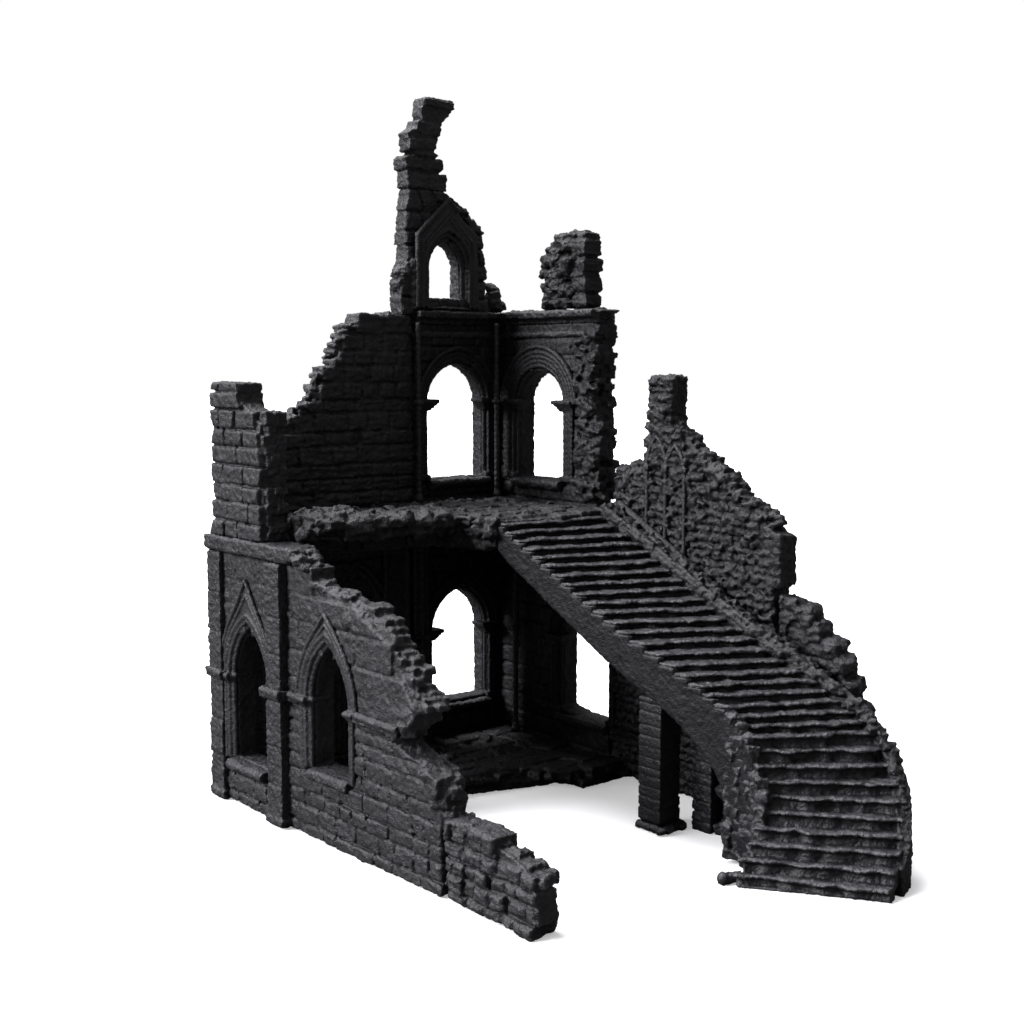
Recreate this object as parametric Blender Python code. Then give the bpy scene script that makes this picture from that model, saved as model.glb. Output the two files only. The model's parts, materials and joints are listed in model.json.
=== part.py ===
"""Miniature gothic ruin with a curved staircase, built as separate printed and fitted sections.

Lengths below are in millimetres and turned into metres when a mesh is made. Plan coordinates
start at the outer rear left corner of the ruin: x runs right along the back wall, y is negative
towards the front along the left wall, z is up from the table. The empty plan_origin moves that
corner so that the world origin is the middle of the ruin's footprint.
"""

import math

import bmesh
import bpy
from mathutils import Vector

MM = 0.001
GAP = 0.3

# Driving dimensions
PLAN_CENTRE = (49.45, -82.44)
WALL = 7.0
BAY_X = 94.3
FLOOR_TOP = 5.0
STOREY = 67.0
CORNICE_TOP = 71.3
UPPER_FLOOR = 76.0
LEDGE_BOTTOM = 127.6
LEDGE_TOP = 131.2
SPIRE_TOP = 192.0

BACK_Y = -WALL
BACK_OUT = -1.2
BAY_LEFT = 62.5
BAY_RIGHT = BAY_X + WALL
BAY_END = -56.0
LEFT_END = -99.6

# Windows: centre along the wall, half width, sill top, springing height, apex height
LEFT_REAR_WINDOW = (-18.5, 8.3, 12.0, 34.2, 48.0)
LEFT_FRONT_WINDOW = (-55.4, 7.8, 17.6, 34.6, 48.6)
GROUND_BACK_WINDOW = (79.4, 10.4, 15.0, 36.4, 49.4)
GROUND_RIGHT_WINDOW = (-44.2, 10.7, 16.2, 36.0, 49.0)
UPPER_BACK_WINDOW = (78.7, 11.3, 82.0, 104.6, 117.0)
UPPER_RIGHT_WINDOW = (-25.6, 10.0, 82.0, 104.4, 114.4)
SPIRE_WINDOW = (74.6, 5.8, 134.0, 143.4, 151.6)

SILL_DEPTH = 2.4
SILL_STEP = 2.4
SURROUND_WIDTH = 3.6
SURROUND_STEP = 1.2

# Staircase
RISERS = 32
LOWER_RISERS = 10
LOWER_RISE = 3.15
STAIR_TOP = 74.6
CURB_WIDTH = 6.0
CURB_END = 1.0
CURB_STEPS = 27
CURB_RISE = 2.2

LIFT_AXES = {
    "upper_storey": (50.0, -30.0, CORNICE_TOP),
    "spire": (73.0, -3.5, LEDGE_TOP),
    "staircase": (75.0, -110.0, 0.0),
}


def clear_scene():
    for obj in list(bpy.data.objects):
        bpy.data.objects.remove(obj, do_unlink=True)


def plastic(name, value, roughness):
    """A matt black printed plastic, a little bluish in its grey."""
    material = bpy.data.materials.new(name)
    material.use_nodes = True
    shader = material.node_tree.nodes["Principled BSDF"]
    shader.inputs["Base Color"].default_value = (value, value, value * 1.12, 1.0)
    shader.inputs["Roughness"].default_value = roughness
    shader.inputs["Metallic"].default_value = 0.0
    return material


def empty(name, place, parent=None):
    holder = bpy.data.objects.new(name, None)
    holder.location = Vector(place) * MM
    holder.parent = parent
    bpy.context.scene.collection.objects.link(holder)
    return holder


class Section:
    """One of the parts of the ruin that lift off each other, which its pieces are parented to."""

    def __init__(self, name, plan_origin, axis=(0.0, 0.0, 0.0)):
        self.axis = Vector(axis)
        self.holder = empty(name + "_section", axis, plan_origin)

    def add(self, name, bm, value=0.024, roughness=0.55):
        """Turns a bmesh in plan millimetres into a named object of this section."""
        for vertex in bm.verts:
            vertex.co = (vertex.co - self.axis) * MM
        bmesh.ops.recalc_face_normals(bm, faces=bm.faces)
        if bm.calc_volume(signed=True) < 0:
            bmesh.ops.reverse_faces(bm, faces=bm.faces)
        mesh = bpy.data.meshes.new(name)
        bm.to_mesh(mesh)
        bm.free()
        obj = bpy.data.objects.new(name, mesh)
        obj.parent = self.holder
        obj.data.materials.append(plastic(name + "_plastic", value, roughness))
        bpy.context.scene.collection.objects.link(obj)
        return obj

    def cut(self, obj, name, bm):
        """Cuts a hidden helper out of an object."""
        helper = self.add(name, bm)
        helper.hide_render = True
        helper.display_type = "WIRE"
        modifier = obj.modifiers.new(name, "BOOLEAN")
        modifier.operation = "DIFFERENCE"
        modifier.solver = "EXACT"
        modifier.object = helper


def prism(outline, low, high, across="x"):
    """A bmesh of an outline extruded across the named axis. The outline is in (y, z) across x,
    in (x, z) across y, and in (x, y) across z."""

    def place(point, level):
        if across == "x":
            return Vector((level, point[0], point[1]))
        if across == "y":
            return Vector((point[0], level, point[1]))
        return Vector((point[0], point[1], level))

    bm = bmesh.new()
    face = bm.faces.new([bm.verts.new(place(point, low)) for point in outline])
    grown = bmesh.ops.extrude_face_region(bm, geom=[face])
    moved = [item for item in grown["geom"] if isinstance(item, bmesh.types.BMVert)]
    step = place((0.0, 0.0), high) - place((0.0, 0.0), low)
    bmesh.ops.translate(bm, verts=moved, vec=step)
    return bm


def block(low, high):
    outline = [(low[0], low[1]), (high[0], low[1]), (high[0], high[1]), (low[0], high[1])]
    return prism(outline, low[2], high[2], across="z")


def arch_side(half, spring, apex, count):
    """Points up one side of a pointed arch, from its springing to just below its apex."""
    rise = apex - spring
    radius = (half * half + rise * rise) / (2.0 * half)
    full = math.acos((radius - half) / radius)
    angles = [full * step / count for step in range(count)]
    return [(radius * math.cos(a) - (radius - half), spring + radius * math.sin(a)) for a in angles]


def arch_outline(window, grow=0.0, foot=None, count=5):
    """The outline of a pointed opening, larger all round by grow, down to the height foot."""
    centre, half, sill, spring, apex = window
    foot = sill if foot is None else foot
    side = arch_side(half + grow, spring, apex + 1.15 * grow, count)
    right = [(centre + out, height) for out, height in side]
    left = [(centre - out, height) for out, height in reversed(side)]
    peak = (centre, apex + 1.15 * grow)
    return [(centre + half + grow, foot)] + right + [peak] + left + [(centre - half - grow, foot)]


def surround_outline(window, width=SURROUND_WIDTH, count=5):
    """The outline of the moulded band that stands round a pointed opening."""
    outer = arch_outline(window, grow=width, count=count)
    inner = arch_outline(window, grow=GAP, count=count)
    return outer + inner[::-1]


def opening(section, wall, name, window, low, high, across):
    """Cuts a window through a wall, with room for its sill."""
    foot = window[2] - SILL_DEPTH - GAP
    section.cut(wall, name, prism(arch_outline(window, foot=foot), low, high, across))


def sill_outline(window):
    centre, half, top = window[:3]
    reach = half - GAP
    bottom = top - SILL_DEPTH
    return [(centre - reach, bottom), (centre + reach, bottom), (centre + reach, top),
            (centre - reach, top)]


def build_left_wall(ground):
    """The long left wall: two windows, a corner pilaster, a buttress, string courses, a cornice
    and a broken edge that steps down to a low stub of rubble."""
    outline = [(BACK_OUT, 0.0), (BACK_OUT, STOREY), (-42.0, STOREY), (-52.0, 62.6), (-64.3, 61.6),
               (-67.0, 59.8), (-75.5, 56.8), (-81.5, 49.8), (-91.5, 41.0), (-90.5, 37.8),
               (-84.0, 31.6), (-86.0, 28.8), (-94.5, 28.2), (-99.4, 24.0), (LEFT_END, 17.0),
               (LEFT_END, 0.0)]
    wall = ground.add("left_wall", prism(outline, 0.0, WALL))
    for place, window in (("rear", LEFT_REAR_WINDOW), ("front", LEFT_FRONT_WINDOW)):
        opening(ground, wall, "left_cut_" + place, window, -1.0, WALL + 1.0, "x")
        ground.add("left_sill_" + place, prism(sill_outline(window), -SILL_STEP, WALL))
        band = prism(surround_outline(window), -GAP - SURROUND_STEP, -GAP)
        ground.add("left_surround_" + place, band)

    around = [(-1.4, -0.1), (-1.4, -6.6), (-GAP, -6.6), (-GAP, -0.9), (6.5, -0.9), (6.5, -0.1)]
    ground.add("left_corner_pilaster", prism(around, 0.0, STOREY, across="z"))
    ground.add("left_buttress", block((-2.4, -37.6, 0.0), (-GAP, -30.8, STOREY)))

    strings = {
        "corner": ((-2.7, -8.0), (-1.7, 0.5)),
        "buttress": ((-3.8, -38.4), (-2.7, -30.0)),
        "middle": ((-1.9, -43.4), (-GAP, -38.7)),
        "front": ((-1.9, -85.0), (-GAP, -67.4)),
    }
    for place, (low, high) in strings.items():
        ground.add("left_string_" + place, block((*low, 33.0), (*high, 35.8)))

    band = [(-2.6, 0.5), (-2.6, -41.6), (WALL, -41.6), (WALL, 0.5)]
    ground.add("left_cornice", prism(band, STOREY + GAP, CORNICE_TOP, across="z"))

    stub = [(LEFT_END - GAP, 0.0), (LEFT_END - GAP, 15.8), (-102.2, 18.4), (-106.3, 18.8),
            (-113.0, 17.8), (-117.5, 16.2), (-124.0, 14.8), (-130.0, 12.4), (-131.0, 6.4),
            (-129.8, 0.0)]
    ground.add("left_stub_wall", prism(stub, 0.0, WALL))


def build_ground_bay(ground):
    """The back wall and the window bay at ground level, with the floor they stand round."""
    edge = [(WALL + GAP, BACK_Y - GAP), (WALL + GAP, -36.0), (72.0, -48.8), (73.6, -57.4),
            (BAY_X - GAP, -62.6), (BAY_X - GAP, BACK_Y - GAP)]
    ground.add("ground_floor_slab", prism(edge, 0.0, FLOOR_TOP, across="z"), value=0.02)

    ground.add("back_wall_ground", block((WALL + GAP, BACK_Y, 0.0), (BAY_LEFT, BACK_OUT, STOREY)))
    pier = block((60.4, BACK_Y - 2.6, FLOOR_TOP + GAP), (66.0, BACK_Y - GAP, STOREY))
    ground.add("back_pier_ground", pier)

    bay_left = BAY_LEFT + GAP
    back = ground.add("bay_wall_ground_back", block((bay_left, BACK_Y, 0.0), (BAY_RIGHT, BACK_OUT, STOREY)))
    opening(ground, back, "bay_cut_ground_back", GROUND_BACK_WINDOW, BACK_Y - 1.0, 1.0, "y")
    side = block((BAY_X, BAY_END, 0.0), (BAY_RIGHT, BACK_Y - GAP, STOREY))
    right = ground.add("bay_wall_ground_right", side)
    opening(ground, right, "bay_cut_ground_right", GROUND_RIGHT_WINDOW, BAY_X - 1.0, BAY_RIGHT + 1.0, "x")

    sill = prism(sill_outline(GROUND_BACK_WINDOW), BACK_Y - SILL_STEP, BACK_OUT, "y")
    ground.add("bay_sill_ground_back", sill)
    sill = prism(sill_outline(GROUND_RIGHT_WINDOW), BAY_X - SILL_STEP, BAY_RIGHT)
    ground.add("bay_sill_ground_right", sill)
    face = BACK_Y - GAP
    band = prism(surround_outline(GROUND_BACK_WINDOW, 2.6), face - SURROUND_STEP, face, "y")
    ground.add("bay_surround_ground_back", band)
    face = BAY_X - GAP
    band = prism(surround_outline(GROUND_RIGHT_WINDOW), face - SURROUND_STEP, face)
    ground.add("bay_surround_ground_right", band)
    ground.add("bay_shaft_ground", shaft((91.9, -18.0), FLOOR_TOP + GAP, STOREY, 36.4))


def shaft(place, foot, top, capital):
    """A slender round wall shaft with a base and a capital ring, turned about its own axis."""
    radius = 1.3
    profile = [(0.0, foot), (2.1, foot), (2.1, foot + 2.0), (radius, foot + 3.2),
               (radius, capital - 2.6), (2.1, capital - 1.0), (2.1, capital), (radius, capital + 0.8),
               (radius, top), (0.0, top)]
    bm = bmesh.new()
    ring = [bm.verts.new((place[0] + out, place[1], height)) for out, height in profile]
    edges = [bm.edges.new(pair) for pair in zip(ring, ring[1:])]
    centre = (place[0], place[1], 0.0)
    bmesh.ops.spin(bm, geom=ring + edges, cent=centre, axis=(0, 0, 1), angle=2 * math.pi,
                   steps=10, use_merge=True)
    bmesh.ops.remove_doubles(bm, verts=bm.verts, dist=0.001)
    return bm


def build_stair_wall(ground):
    """The rough wall beside the stairs: two blind lancets, a skyline that steps down and a low
    broken end with a niche."""
    start = BAY_END - GAP
    split = -114.2
    high = [(start, 0.0), (start, 86.4), (-62.0, 88.6), (-67.6, 87.6), (-69.6, 98.0),
            (-68.8, 110.6), (-70.6, 113.0), (-78.5, 112.3), (-78.6, 106.4), (-77.6, 100.0),
            (-82.3, 95.8), (-86.6, 92.0), (-94.6, 88.5), (-103.1, 81.3), (-110.6, 76.8),
            (-113.9, 72.0), (split, 0.0)]
    wall = ground.add("stair_wall_high", prism(high, BAY_X, BAY_RIGHT))
    for number, centre in enumerate((-71.6, -80.2)):
        lancet = (centre, 2.9, 67.0, 89.0, 95.2 - number)
        ground.cut(wall, f"lancet_cut_{number}", prism(arch_outline(lancet, count=4), BAY_X - 1.0,
                                                       BAY_X + 2.0))
    low = [(split - GAP, 0.0), (split - GAP, 60.4), (-116.4, 58.3), (-124.2, 55.5),
           (-127.0, 51.2), (-134.0, 45.4), (-136.0, 39.4), (-141.1, 28.5), (-143.6, 25.5),
           (-143.0, 0.0)]
    wall = ground.add("stair_wall_low", prism(low, BAY_X, BAY_RIGHT))
    niche = (-120.6, 2.8, 42.0, 49.6, 53.2)
    ground.cut(wall, "niche_cut", prism(arch_outline(niche, count=4), BAY_X - 1.0, BAY_X + 2.0))
    string = [(-60.4, 74.8), (-60.4, 77.6), (-142.6, 33.4), (-142.6, 30.6)]
    ground.add("stair_wall_string", prism(string, BAY_X - 1.5, BAY_X - GAP))


def build_upper_storey(upper):
    """The first floor with its broken front edge, and the walls and window bay on it."""
    base = CORNICE_TOP + GAP
    inner = BAY_X - GAP
    edge = [(WALL + GAP, BACK_Y - GAP), (WALL + GAP, -36.5), (16.0, -40.0), (26.0, -43.4),
            (34.0, -41.4), (41.0, -43.2), (48.0, -40.0), (53.6, -46.0), (53.2, -54.0),
            (BAY_X - 6.6, -58.8), (inner, -59.6), (inner, BACK_Y - GAP)]
    upper.add("first_floor_slab", prism(edge, STOREY + GAP, UPPER_FLOOR, across="z"), value=0.028)

    left = [(-1.4, base), (-2.8, 110.6), (-10.0, 111.0), (-17.4, 111.6), (-17.6, 106.3),
            (-22.0, 104.0), (-26.6, 101.0), (-27.8, 90.0), (-27.4, base)]
    upper.add("upper_left_wall", prism(left, 0.0, WALL), value=0.028)

    floor_gap = STOREY + GAP
    back = [(WALL + GAP, floor_gap), (WALL + GAP, 98.6), (21.6, 99.8), (25.0, 103.6),
            (28.8, 106.6), (31.2, 113.2), (35.4, 114.4), (37.4, 121.6), (40.6, 126.8),
            (48.4, 129.0), (56.4, 130.2), (57.2, 129.6), (BAY_LEFT, 129.6), (BAY_LEFT, floor_gap)]
    upper.add("upper_back_wall", prism(back, BACK_Y, BACK_OUT, "y"))

    bay_left = BAY_LEFT + GAP
    top = LEDGE_BOTTOM - GAP
    wall = upper.add("bay_wall_upper_back", block((bay_left, BACK_Y, floor_gap), (BAY_RIGHT, BACK_OUT, top)))
    opening(upper, wall, "bay_cut_upper_back", UPPER_BACK_WINDOW, BACK_Y - 1.0, 1.0, "y")
    side = [(BACK_Y - GAP, floor_gap), (BACK_Y - GAP, top), (-50.6, top), (-49.4, 114.0),
            (-48.2, 107.0), (-50.6, 96.0), (-49.6, 88.0), (-51.0, 78.0), (-50.6, floor_gap)]
    wall = upper.add("bay_wall_upper_right", prism(side, BAY_X, BAY_RIGHT))
    opening(upper, wall, "bay_cut_upper_right", UPPER_RIGHT_WINDOW, BAY_X - 1.0, BAY_RIGHT + 1.0, "x")

    sill = prism(sill_outline(UPPER_BACK_WINDOW), BACK_Y - SILL_STEP, BACK_OUT, "y")
    upper.add("bay_sill_upper_back", sill)
    sill = prism(sill_outline(UPPER_RIGHT_WINDOW), BAY_X - SILL_STEP, BAY_RIGHT)
    upper.add("bay_sill_upper_right", sill)
    face = BACK_Y - GAP
    band = prism(surround_outline(UPPER_BACK_WINDOW, 2.2), face - SURROUND_STEP, face, "y")
    upper.add("bay_surround_upper_back", band)
    face = BAY_X - GAP
    band = prism(surround_outline(UPPER_RIGHT_WINDOW, 4.6), face - SURROUND_STEP, face)
    upper.add("bay_surround_upper_right", band)
    upper.add("bay_shaft_upper_left", shaft((62.4, -9.5), UPPER_FLOOR + GAP, LEDGE_BOTTOM - GAP, 104.4))
    upper.add("bay_shaft_upper_corner", shaft((90.2, -11.2), UPPER_FLOOR + GAP, LEDGE_BOTTOM - GAP, 104.4))

    ledge = [(BAY_LEFT + GAP, 0.2), (BAY_LEFT + GAP, BACK_Y - 2.6), (BAY_X - 2.6, BACK_Y - 2.6),
             (BAY_X - 2.6, -51.4), (BAY_RIGHT + 1.4, -51.8), (BAY_RIGHT + 1.4, 0.2)]
    upper.add("bay_ledge", prism(ledge, LEDGE_BOTTOM, LEDGE_TOP, across="z"))

    stack = [(-25.0, 0.0), (-24.6, 6.4), (-27.4, 10.6), (-27.2, 17.0), (-31.1, 19.2),
             (-36.8, 21.2), (-44.6, 21.8), (-45.5, 16.8), (-44.2, 14.8), (-45.6, 9.6),
             (-44.6, 0.0)]
    lift = LEDGE_TOP + GAP
    stack = [(along, lift + height) for along, height in stack]
    upper.add("ledge_rubble_stack", prism(stack, BAY_X, BAY_RIGHT - 0.6))
    stub = [(91.4, lift), (91.6, lift + 8.0), (94.6, lift + 8.4), (97.0, lift + 6.4), (98.2, lift)]
    upper.add("ledge_rubble_stub", prism(stub, BACK_Y, -2.0, "y"))


def build_spire(spire):
    """The tall broken piece over the bay, with a third small window under a pointed hood."""
    base = LEDGE_TOP + GAP
    body = [(57.8, 129.9), (58.0, 140.1), (60.4, 144.4), (60.4, 152.7), (61.2, 160.1),
            (61.6, 166.0), (74.8, 166.0), (77.4, 162.9), (82.8, 161.0), (85.0, 157.6),
            (88.2, 155.2), (90.0, 146.0), (90.8, base), (BAY_LEFT, base), (BAY_LEFT, 129.9)]
    wall = spire.add("spire_wall", prism(body, BACK_Y, BACK_OUT, "y"))
    opening(spire, wall, "spire_cut", SPIRE_WINDOW, BACK_Y - 1.0, 1.0, "y")
    face = BACK_Y - GAP
    band = prism(surround_outline(SPIRE_WINDOW, 4.6), face - SURROUND_STEP, face, "y")
    spire.add("spire_surround", band)
    spire.add("spire_sill", prism(sill_outline(SPIRE_WINDOW), BACK_Y - 1.6, BACK_OUT, "y"))
    courses = [(61.6, 166.3), (61.6, 170.1), (60.8, 175.3), (63.6, 178.1), (63.4, 183.4),
               (72.0, 183.4), (71.8, 172.2), (74.0, 169.4), (74.8, 166.3)]
    spire.add("spire_courses", prism(courses, BACK_Y, -1.6, "y"))
    cap = [(65.8, 183.7), (67.6, 186.0), (68.0, SPIRE_TOP - 1.0), (70.0, SPIRE_TOP),
           (77.0, SPIRE_TOP), (76.4, 188.0), (72.6, 183.7)]
    spire.add("spire_cap", prism(cap, BACK_Y + 0.4, -2.0, "y"))


def on_path(path, step):
    """Where a path of equally weighted stations is at a riser number, smoothly between them."""
    place = step / RISERS * (len(path) - 1)
    index = min(int(place), len(path) - 2)
    before, start, end, after = (
        Vector(path[max(0, min(len(path) - 1, index + offset))]) for offset in (-1, 0, 1, 2)
    )
    t = place - index
    bend = 2 * before - 5 * start + 4 * end - after
    turn = 3 * start - before - 3 * end + after
    return start + 0.5 * (t * (end - before) + t * t * bend + t * t * t * turn)


# Where the two ends of the nosings run in plan, at equal counts of risers from top to bottom
STAIR_LEFT = ((54.4, -54.6), (56.8, -64.8), (58.4, -78.2), (59.8, -92.4), (61.4, -110.5),
              (64.0, -124.5), (64.4, -132.6), (61.6, -136.4), (53.6, -136.2))
STAIR_RIGHT = ((86.4, -59.8), (86.4, -75.2), (86.0, -91.0), (85.6, -107.4), (86.4, -124.4),
               (89.6, -139.0), (90.2, -151.6), (82.6, -161.8), (73.0, -165.4))


def tread_level(step):
    """The height of a tread, counting steps down from the top."""
    upper = RISERS - LOWER_RISERS
    rise = (STAIR_TOP - LOWER_RISERS * LOWER_RISE) / upper
    if step <= upper:
        return STAIR_TOP - step * rise
    return (RISERS - step) * LOWER_RISE


SOLID_FROM = 21


def soffit_level(step):
    """The underside of the flight: it thickens downwards and ends in a curve on the base."""
    if step >= SOLID_FROM:
        return 0.0
    t = step / SOLID_FROM
    return (tread_level(step) - 7.0 - 4.6 * t) * (1.0 - t ** 12)


def ribbon(rows):
    """A closed bmesh lofted through rows of four corners: top left, top right, bottom right,
    bottom left."""
    bm = bmesh.new()
    rings = [[bm.verts.new(corner) for corner in row] for row in rows]
    for ring, follows in zip(rings, rings[1:]):
        for k in range(4):
            bm.faces.new((ring[k], ring[(k + 1) % 4], follows[(k + 1) % 4], follows[k]))
    bm.faces.new(rings[0])
    bm.faces.new(rings[-1][::-1])
    bmesh.ops.triangulate(bm, faces=bm.faces)
    return bm


def stepped_rows():
    """Rows for the flight: each tread is level from its back to its nosing, with the riser a
    little behind the nosing line of the tread above."""
    rows = []
    for step in range(RISERS):
        for end, at in ((0, step), (1, step + 0.96)):
            left, right = on_path(STAIR_LEFT, at), on_path(STAIR_RIGHT, at)
            top, under = tread_level(step), soffit_level(at)
            rows.append([(*left, top), (*right, top), (*right, under), (*left, under)])
    return rows


def curb_rows():
    """Rows for the curb that fills between the tread ends and the wall."""
    rows = []
    for step in range(CURB_STEPS + 1):
        inner = on_path(STAIR_RIGHT, step)
        ahead = on_path(STAIR_RIGHT, min(step + 0.5, RISERS)) - on_path(STAIR_RIGHT, max(step - 0.5, 0))
        out = Vector((-ahead.y, ahead.x)).normalized()
        width = CURB_WIDTH - (CURB_WIDTH - CURB_END) * max(0.0, step / RISERS * 2.0 - 1.0)
        near, far = inner + out * GAP, inner + out * width
        far.x = min(far.x, BAY_X - 2.0)
        level = tread_level(step - 0.5) + CURB_RISE
        under = 0.0 if step >= SOLID_FROM else soffit_level(step)
        rows.append([(*near, level), (*far, level), (*far, under), (*near, under)])
    return rows


def build_staircase(stairs):
    """The curved staircase with its curb, posts and base."""
    stairs.add("stair_flight", ribbon(stepped_rows()), value=0.026)
    stairs.add("stair_curb", ribbon(curb_rows()))

    post = (70.2, -98.0)
    half = 3.7
    top = 34.0
    stairs.add("stair_post_front", block((post[0] - half, post[1] - half, 2.0 + GAP),
                                         (post[0] + half, post[1] + half, top)))
    stairs.add("stair_post_plate", block((post[0] - 4.4, post[1] - 5.6, 0.0),
                                         (post[0] + 5.0, post[1] + 4.4, 2.0)))
    foot = (79.0, -107.0)
    stairs.add("stair_post_rear", block((foot[0] - 3.2, foot[1] - 3.0, 0.0),
                                        (foot[0] + 3.2, foot[1] + 3.0, 27.0)))
    base = [(79.6, -110.6), (76.6, -118.0), (73.0, -124.0), (80.0, -126.0), (85.0, -118.0),
            (85.0, -110.6)]
    stairs.add("stair_base_block", prism(base, 0.0, 13.0, across="z"))
    toe = [(52.8, -132.4), (52.4, -134.6), (55.4, -134.6), (57.4, -132.0)]
    stairs.add("stair_toe_block", prism(toe, 0.0, 2.8, across="z"))


def main():
    clear_scene()
    plan_origin = empty("plan_origin", (-PLAN_CENTRE[0], -PLAN_CENTRE[1], 0.0))
    ground = Section("ground", plan_origin)
    upper = Section("upper_storey", plan_origin, LIFT_AXES["upper_storey"])
    spire = Section("spire", plan_origin, LIFT_AXES["spire"])
    stairs = Section("staircase", plan_origin, LIFT_AXES["staircase"])
    build_left_wall(ground)
    build_ground_bay(ground)
    build_stair_wall(ground)
    build_upper_storey(upper)
    build_spire(spire)
    build_staircase(stairs)


main()
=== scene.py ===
"""Looks of the miniature gothic ruin: coursed masonry, mouldings, rubble and worn stairs in a
black printed plastic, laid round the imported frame.

Lengths are in millimetres in the plan of the ruin: x runs right along the back wall, y is
negative towards the front along the left wall, and z is up from the table. The plan's origin is
found from the frame, and the points become metres when a piece is made.
"""

import json
import math
import random

import bmesh
import bpy
import numpy as np
from mathutils import Euler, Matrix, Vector

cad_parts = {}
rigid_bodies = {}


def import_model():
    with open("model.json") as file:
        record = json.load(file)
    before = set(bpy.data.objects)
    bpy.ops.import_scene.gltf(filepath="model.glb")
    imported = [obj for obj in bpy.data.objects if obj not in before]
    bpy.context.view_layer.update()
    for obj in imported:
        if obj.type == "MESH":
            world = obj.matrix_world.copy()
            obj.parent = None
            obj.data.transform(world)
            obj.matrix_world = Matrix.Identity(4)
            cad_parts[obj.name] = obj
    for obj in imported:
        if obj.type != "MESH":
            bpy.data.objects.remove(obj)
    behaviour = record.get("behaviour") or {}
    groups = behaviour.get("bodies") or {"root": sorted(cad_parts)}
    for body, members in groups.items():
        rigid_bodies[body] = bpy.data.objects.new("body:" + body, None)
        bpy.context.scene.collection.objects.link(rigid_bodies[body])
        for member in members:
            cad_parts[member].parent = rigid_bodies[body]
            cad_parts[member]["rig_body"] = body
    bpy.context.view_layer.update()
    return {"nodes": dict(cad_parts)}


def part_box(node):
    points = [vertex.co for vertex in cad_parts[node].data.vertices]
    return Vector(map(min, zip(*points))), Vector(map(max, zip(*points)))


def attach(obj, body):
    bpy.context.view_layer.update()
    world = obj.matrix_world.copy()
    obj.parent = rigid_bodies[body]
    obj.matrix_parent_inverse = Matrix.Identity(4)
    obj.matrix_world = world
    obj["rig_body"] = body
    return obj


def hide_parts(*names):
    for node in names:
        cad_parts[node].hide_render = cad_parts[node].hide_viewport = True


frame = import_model()

MM = 0.001

# Driving dimensions: wall planes, storeys and levels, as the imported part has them
WALL = 7.0
BACK_Y = -WALL
BACK_OUT = -1.2
BAY_LEFT = 62.8
BAY_X = 94.3
BAY_RIGHT = BAY_X + WALL
BAY_END = -56.0
LEFT_END = -99.6
FLOOR_TOP = 5.0
STOREY = 67.0
STOREY_JOINT = 67.3
CORNICE_TOP = 71.3
UPPER_BASE = 71.6
UPPER_FLOOR = 76.0
LEDGE_BOTTOM = 127.6
LEDGE_TOP = 131.2
SPIRE_BASE = 131.5
SPIRE_TOP = 192.0
PLAN_CORNER = Vector((0.0, BACK_OUT, 0.0))

# Sizes of the voxels that a piece's stones are fused with, and the share of faces kept after
QUICK = 1.0
WALL_VOXEL = 0.33 * QUICK
FINE_VOXEL = 0.26 * QUICK
KEPT_FACES = 0.46

# Windows: centre along the wall, half width, sill top, springing height, apex height
LEFT_REAR_WINDOW = (-18.5, 8.3, 12.0, 34.2, 48.0)
LEFT_FRONT_WINDOW = (-55.4, 7.8, 17.6, 34.6, 48.6)
GROUND_BACK_WINDOW = (79.2, 9.9, 14.0, 36.4, 48.5)
GROUND_RIGHT_WINDOW = (-45.0, 9.8, 13.6, 36.0, 48.0)
UPPER_BACK_WINDOW = (78.4, 10.4, 82.0, 104.6, 115.8)
UPPER_RIGHT_WINDOW = (-25.6, 9.7, 82.0, 104.4, 113.6)
SPIRE_WINDOW = (74.6, 5.8, 132.5, 143.4, 151.4)
REVEAL_STEP = 1.5
REVEAL_DEPTH = 1.6
REVEAL_LAP = 0.2
RING = 2.8
SILL_DEPTH = 2.4
IMPOST = 4.6

left_low, left_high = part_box("left_wall")
PLAN_ORIGIN = Vector((left_low.x, left_high.y, left_low.z)) - PLAN_CORNER * MM


def flat_path(line, step):
    """A level path through (x, y) points, with points at equal short steps."""
    return evenly([Vector((*point, 0.0)) for point in line], step)


def axes(across):
    """How a point along a wall, at a height and at a depth through it becomes x, y, z."""
    if across == "x":
        return lambda along, height, depth: (depth, along, height)
    if across == "y":
        return lambda along, height, depth: (along, depth, height)
    return lambda along, height, depth: (along, height, depth)


def scatter(heap, count, *ranges):
    """Random numbers within ranges, drawn count times."""
    for _ in range(count):
        yield [heap.about(low, high) for low, high in ranges]


def make_ball():
    """Points and faces of a round pebble that rocks are shaped from."""
    bm = bmesh.new()
    bmesh.ops.create_icosphere(bm, subdivisions=2, radius=1.0)
    points = np.array([vertex.co[:] for vertex in bm.verts])
    faces = [tuple(vertex.index for vertex in face.verts) for face in bm.faces]
    bm.free()
    return points, faces


BALL_POINTS, BALL_FACES = make_ball()


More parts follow.
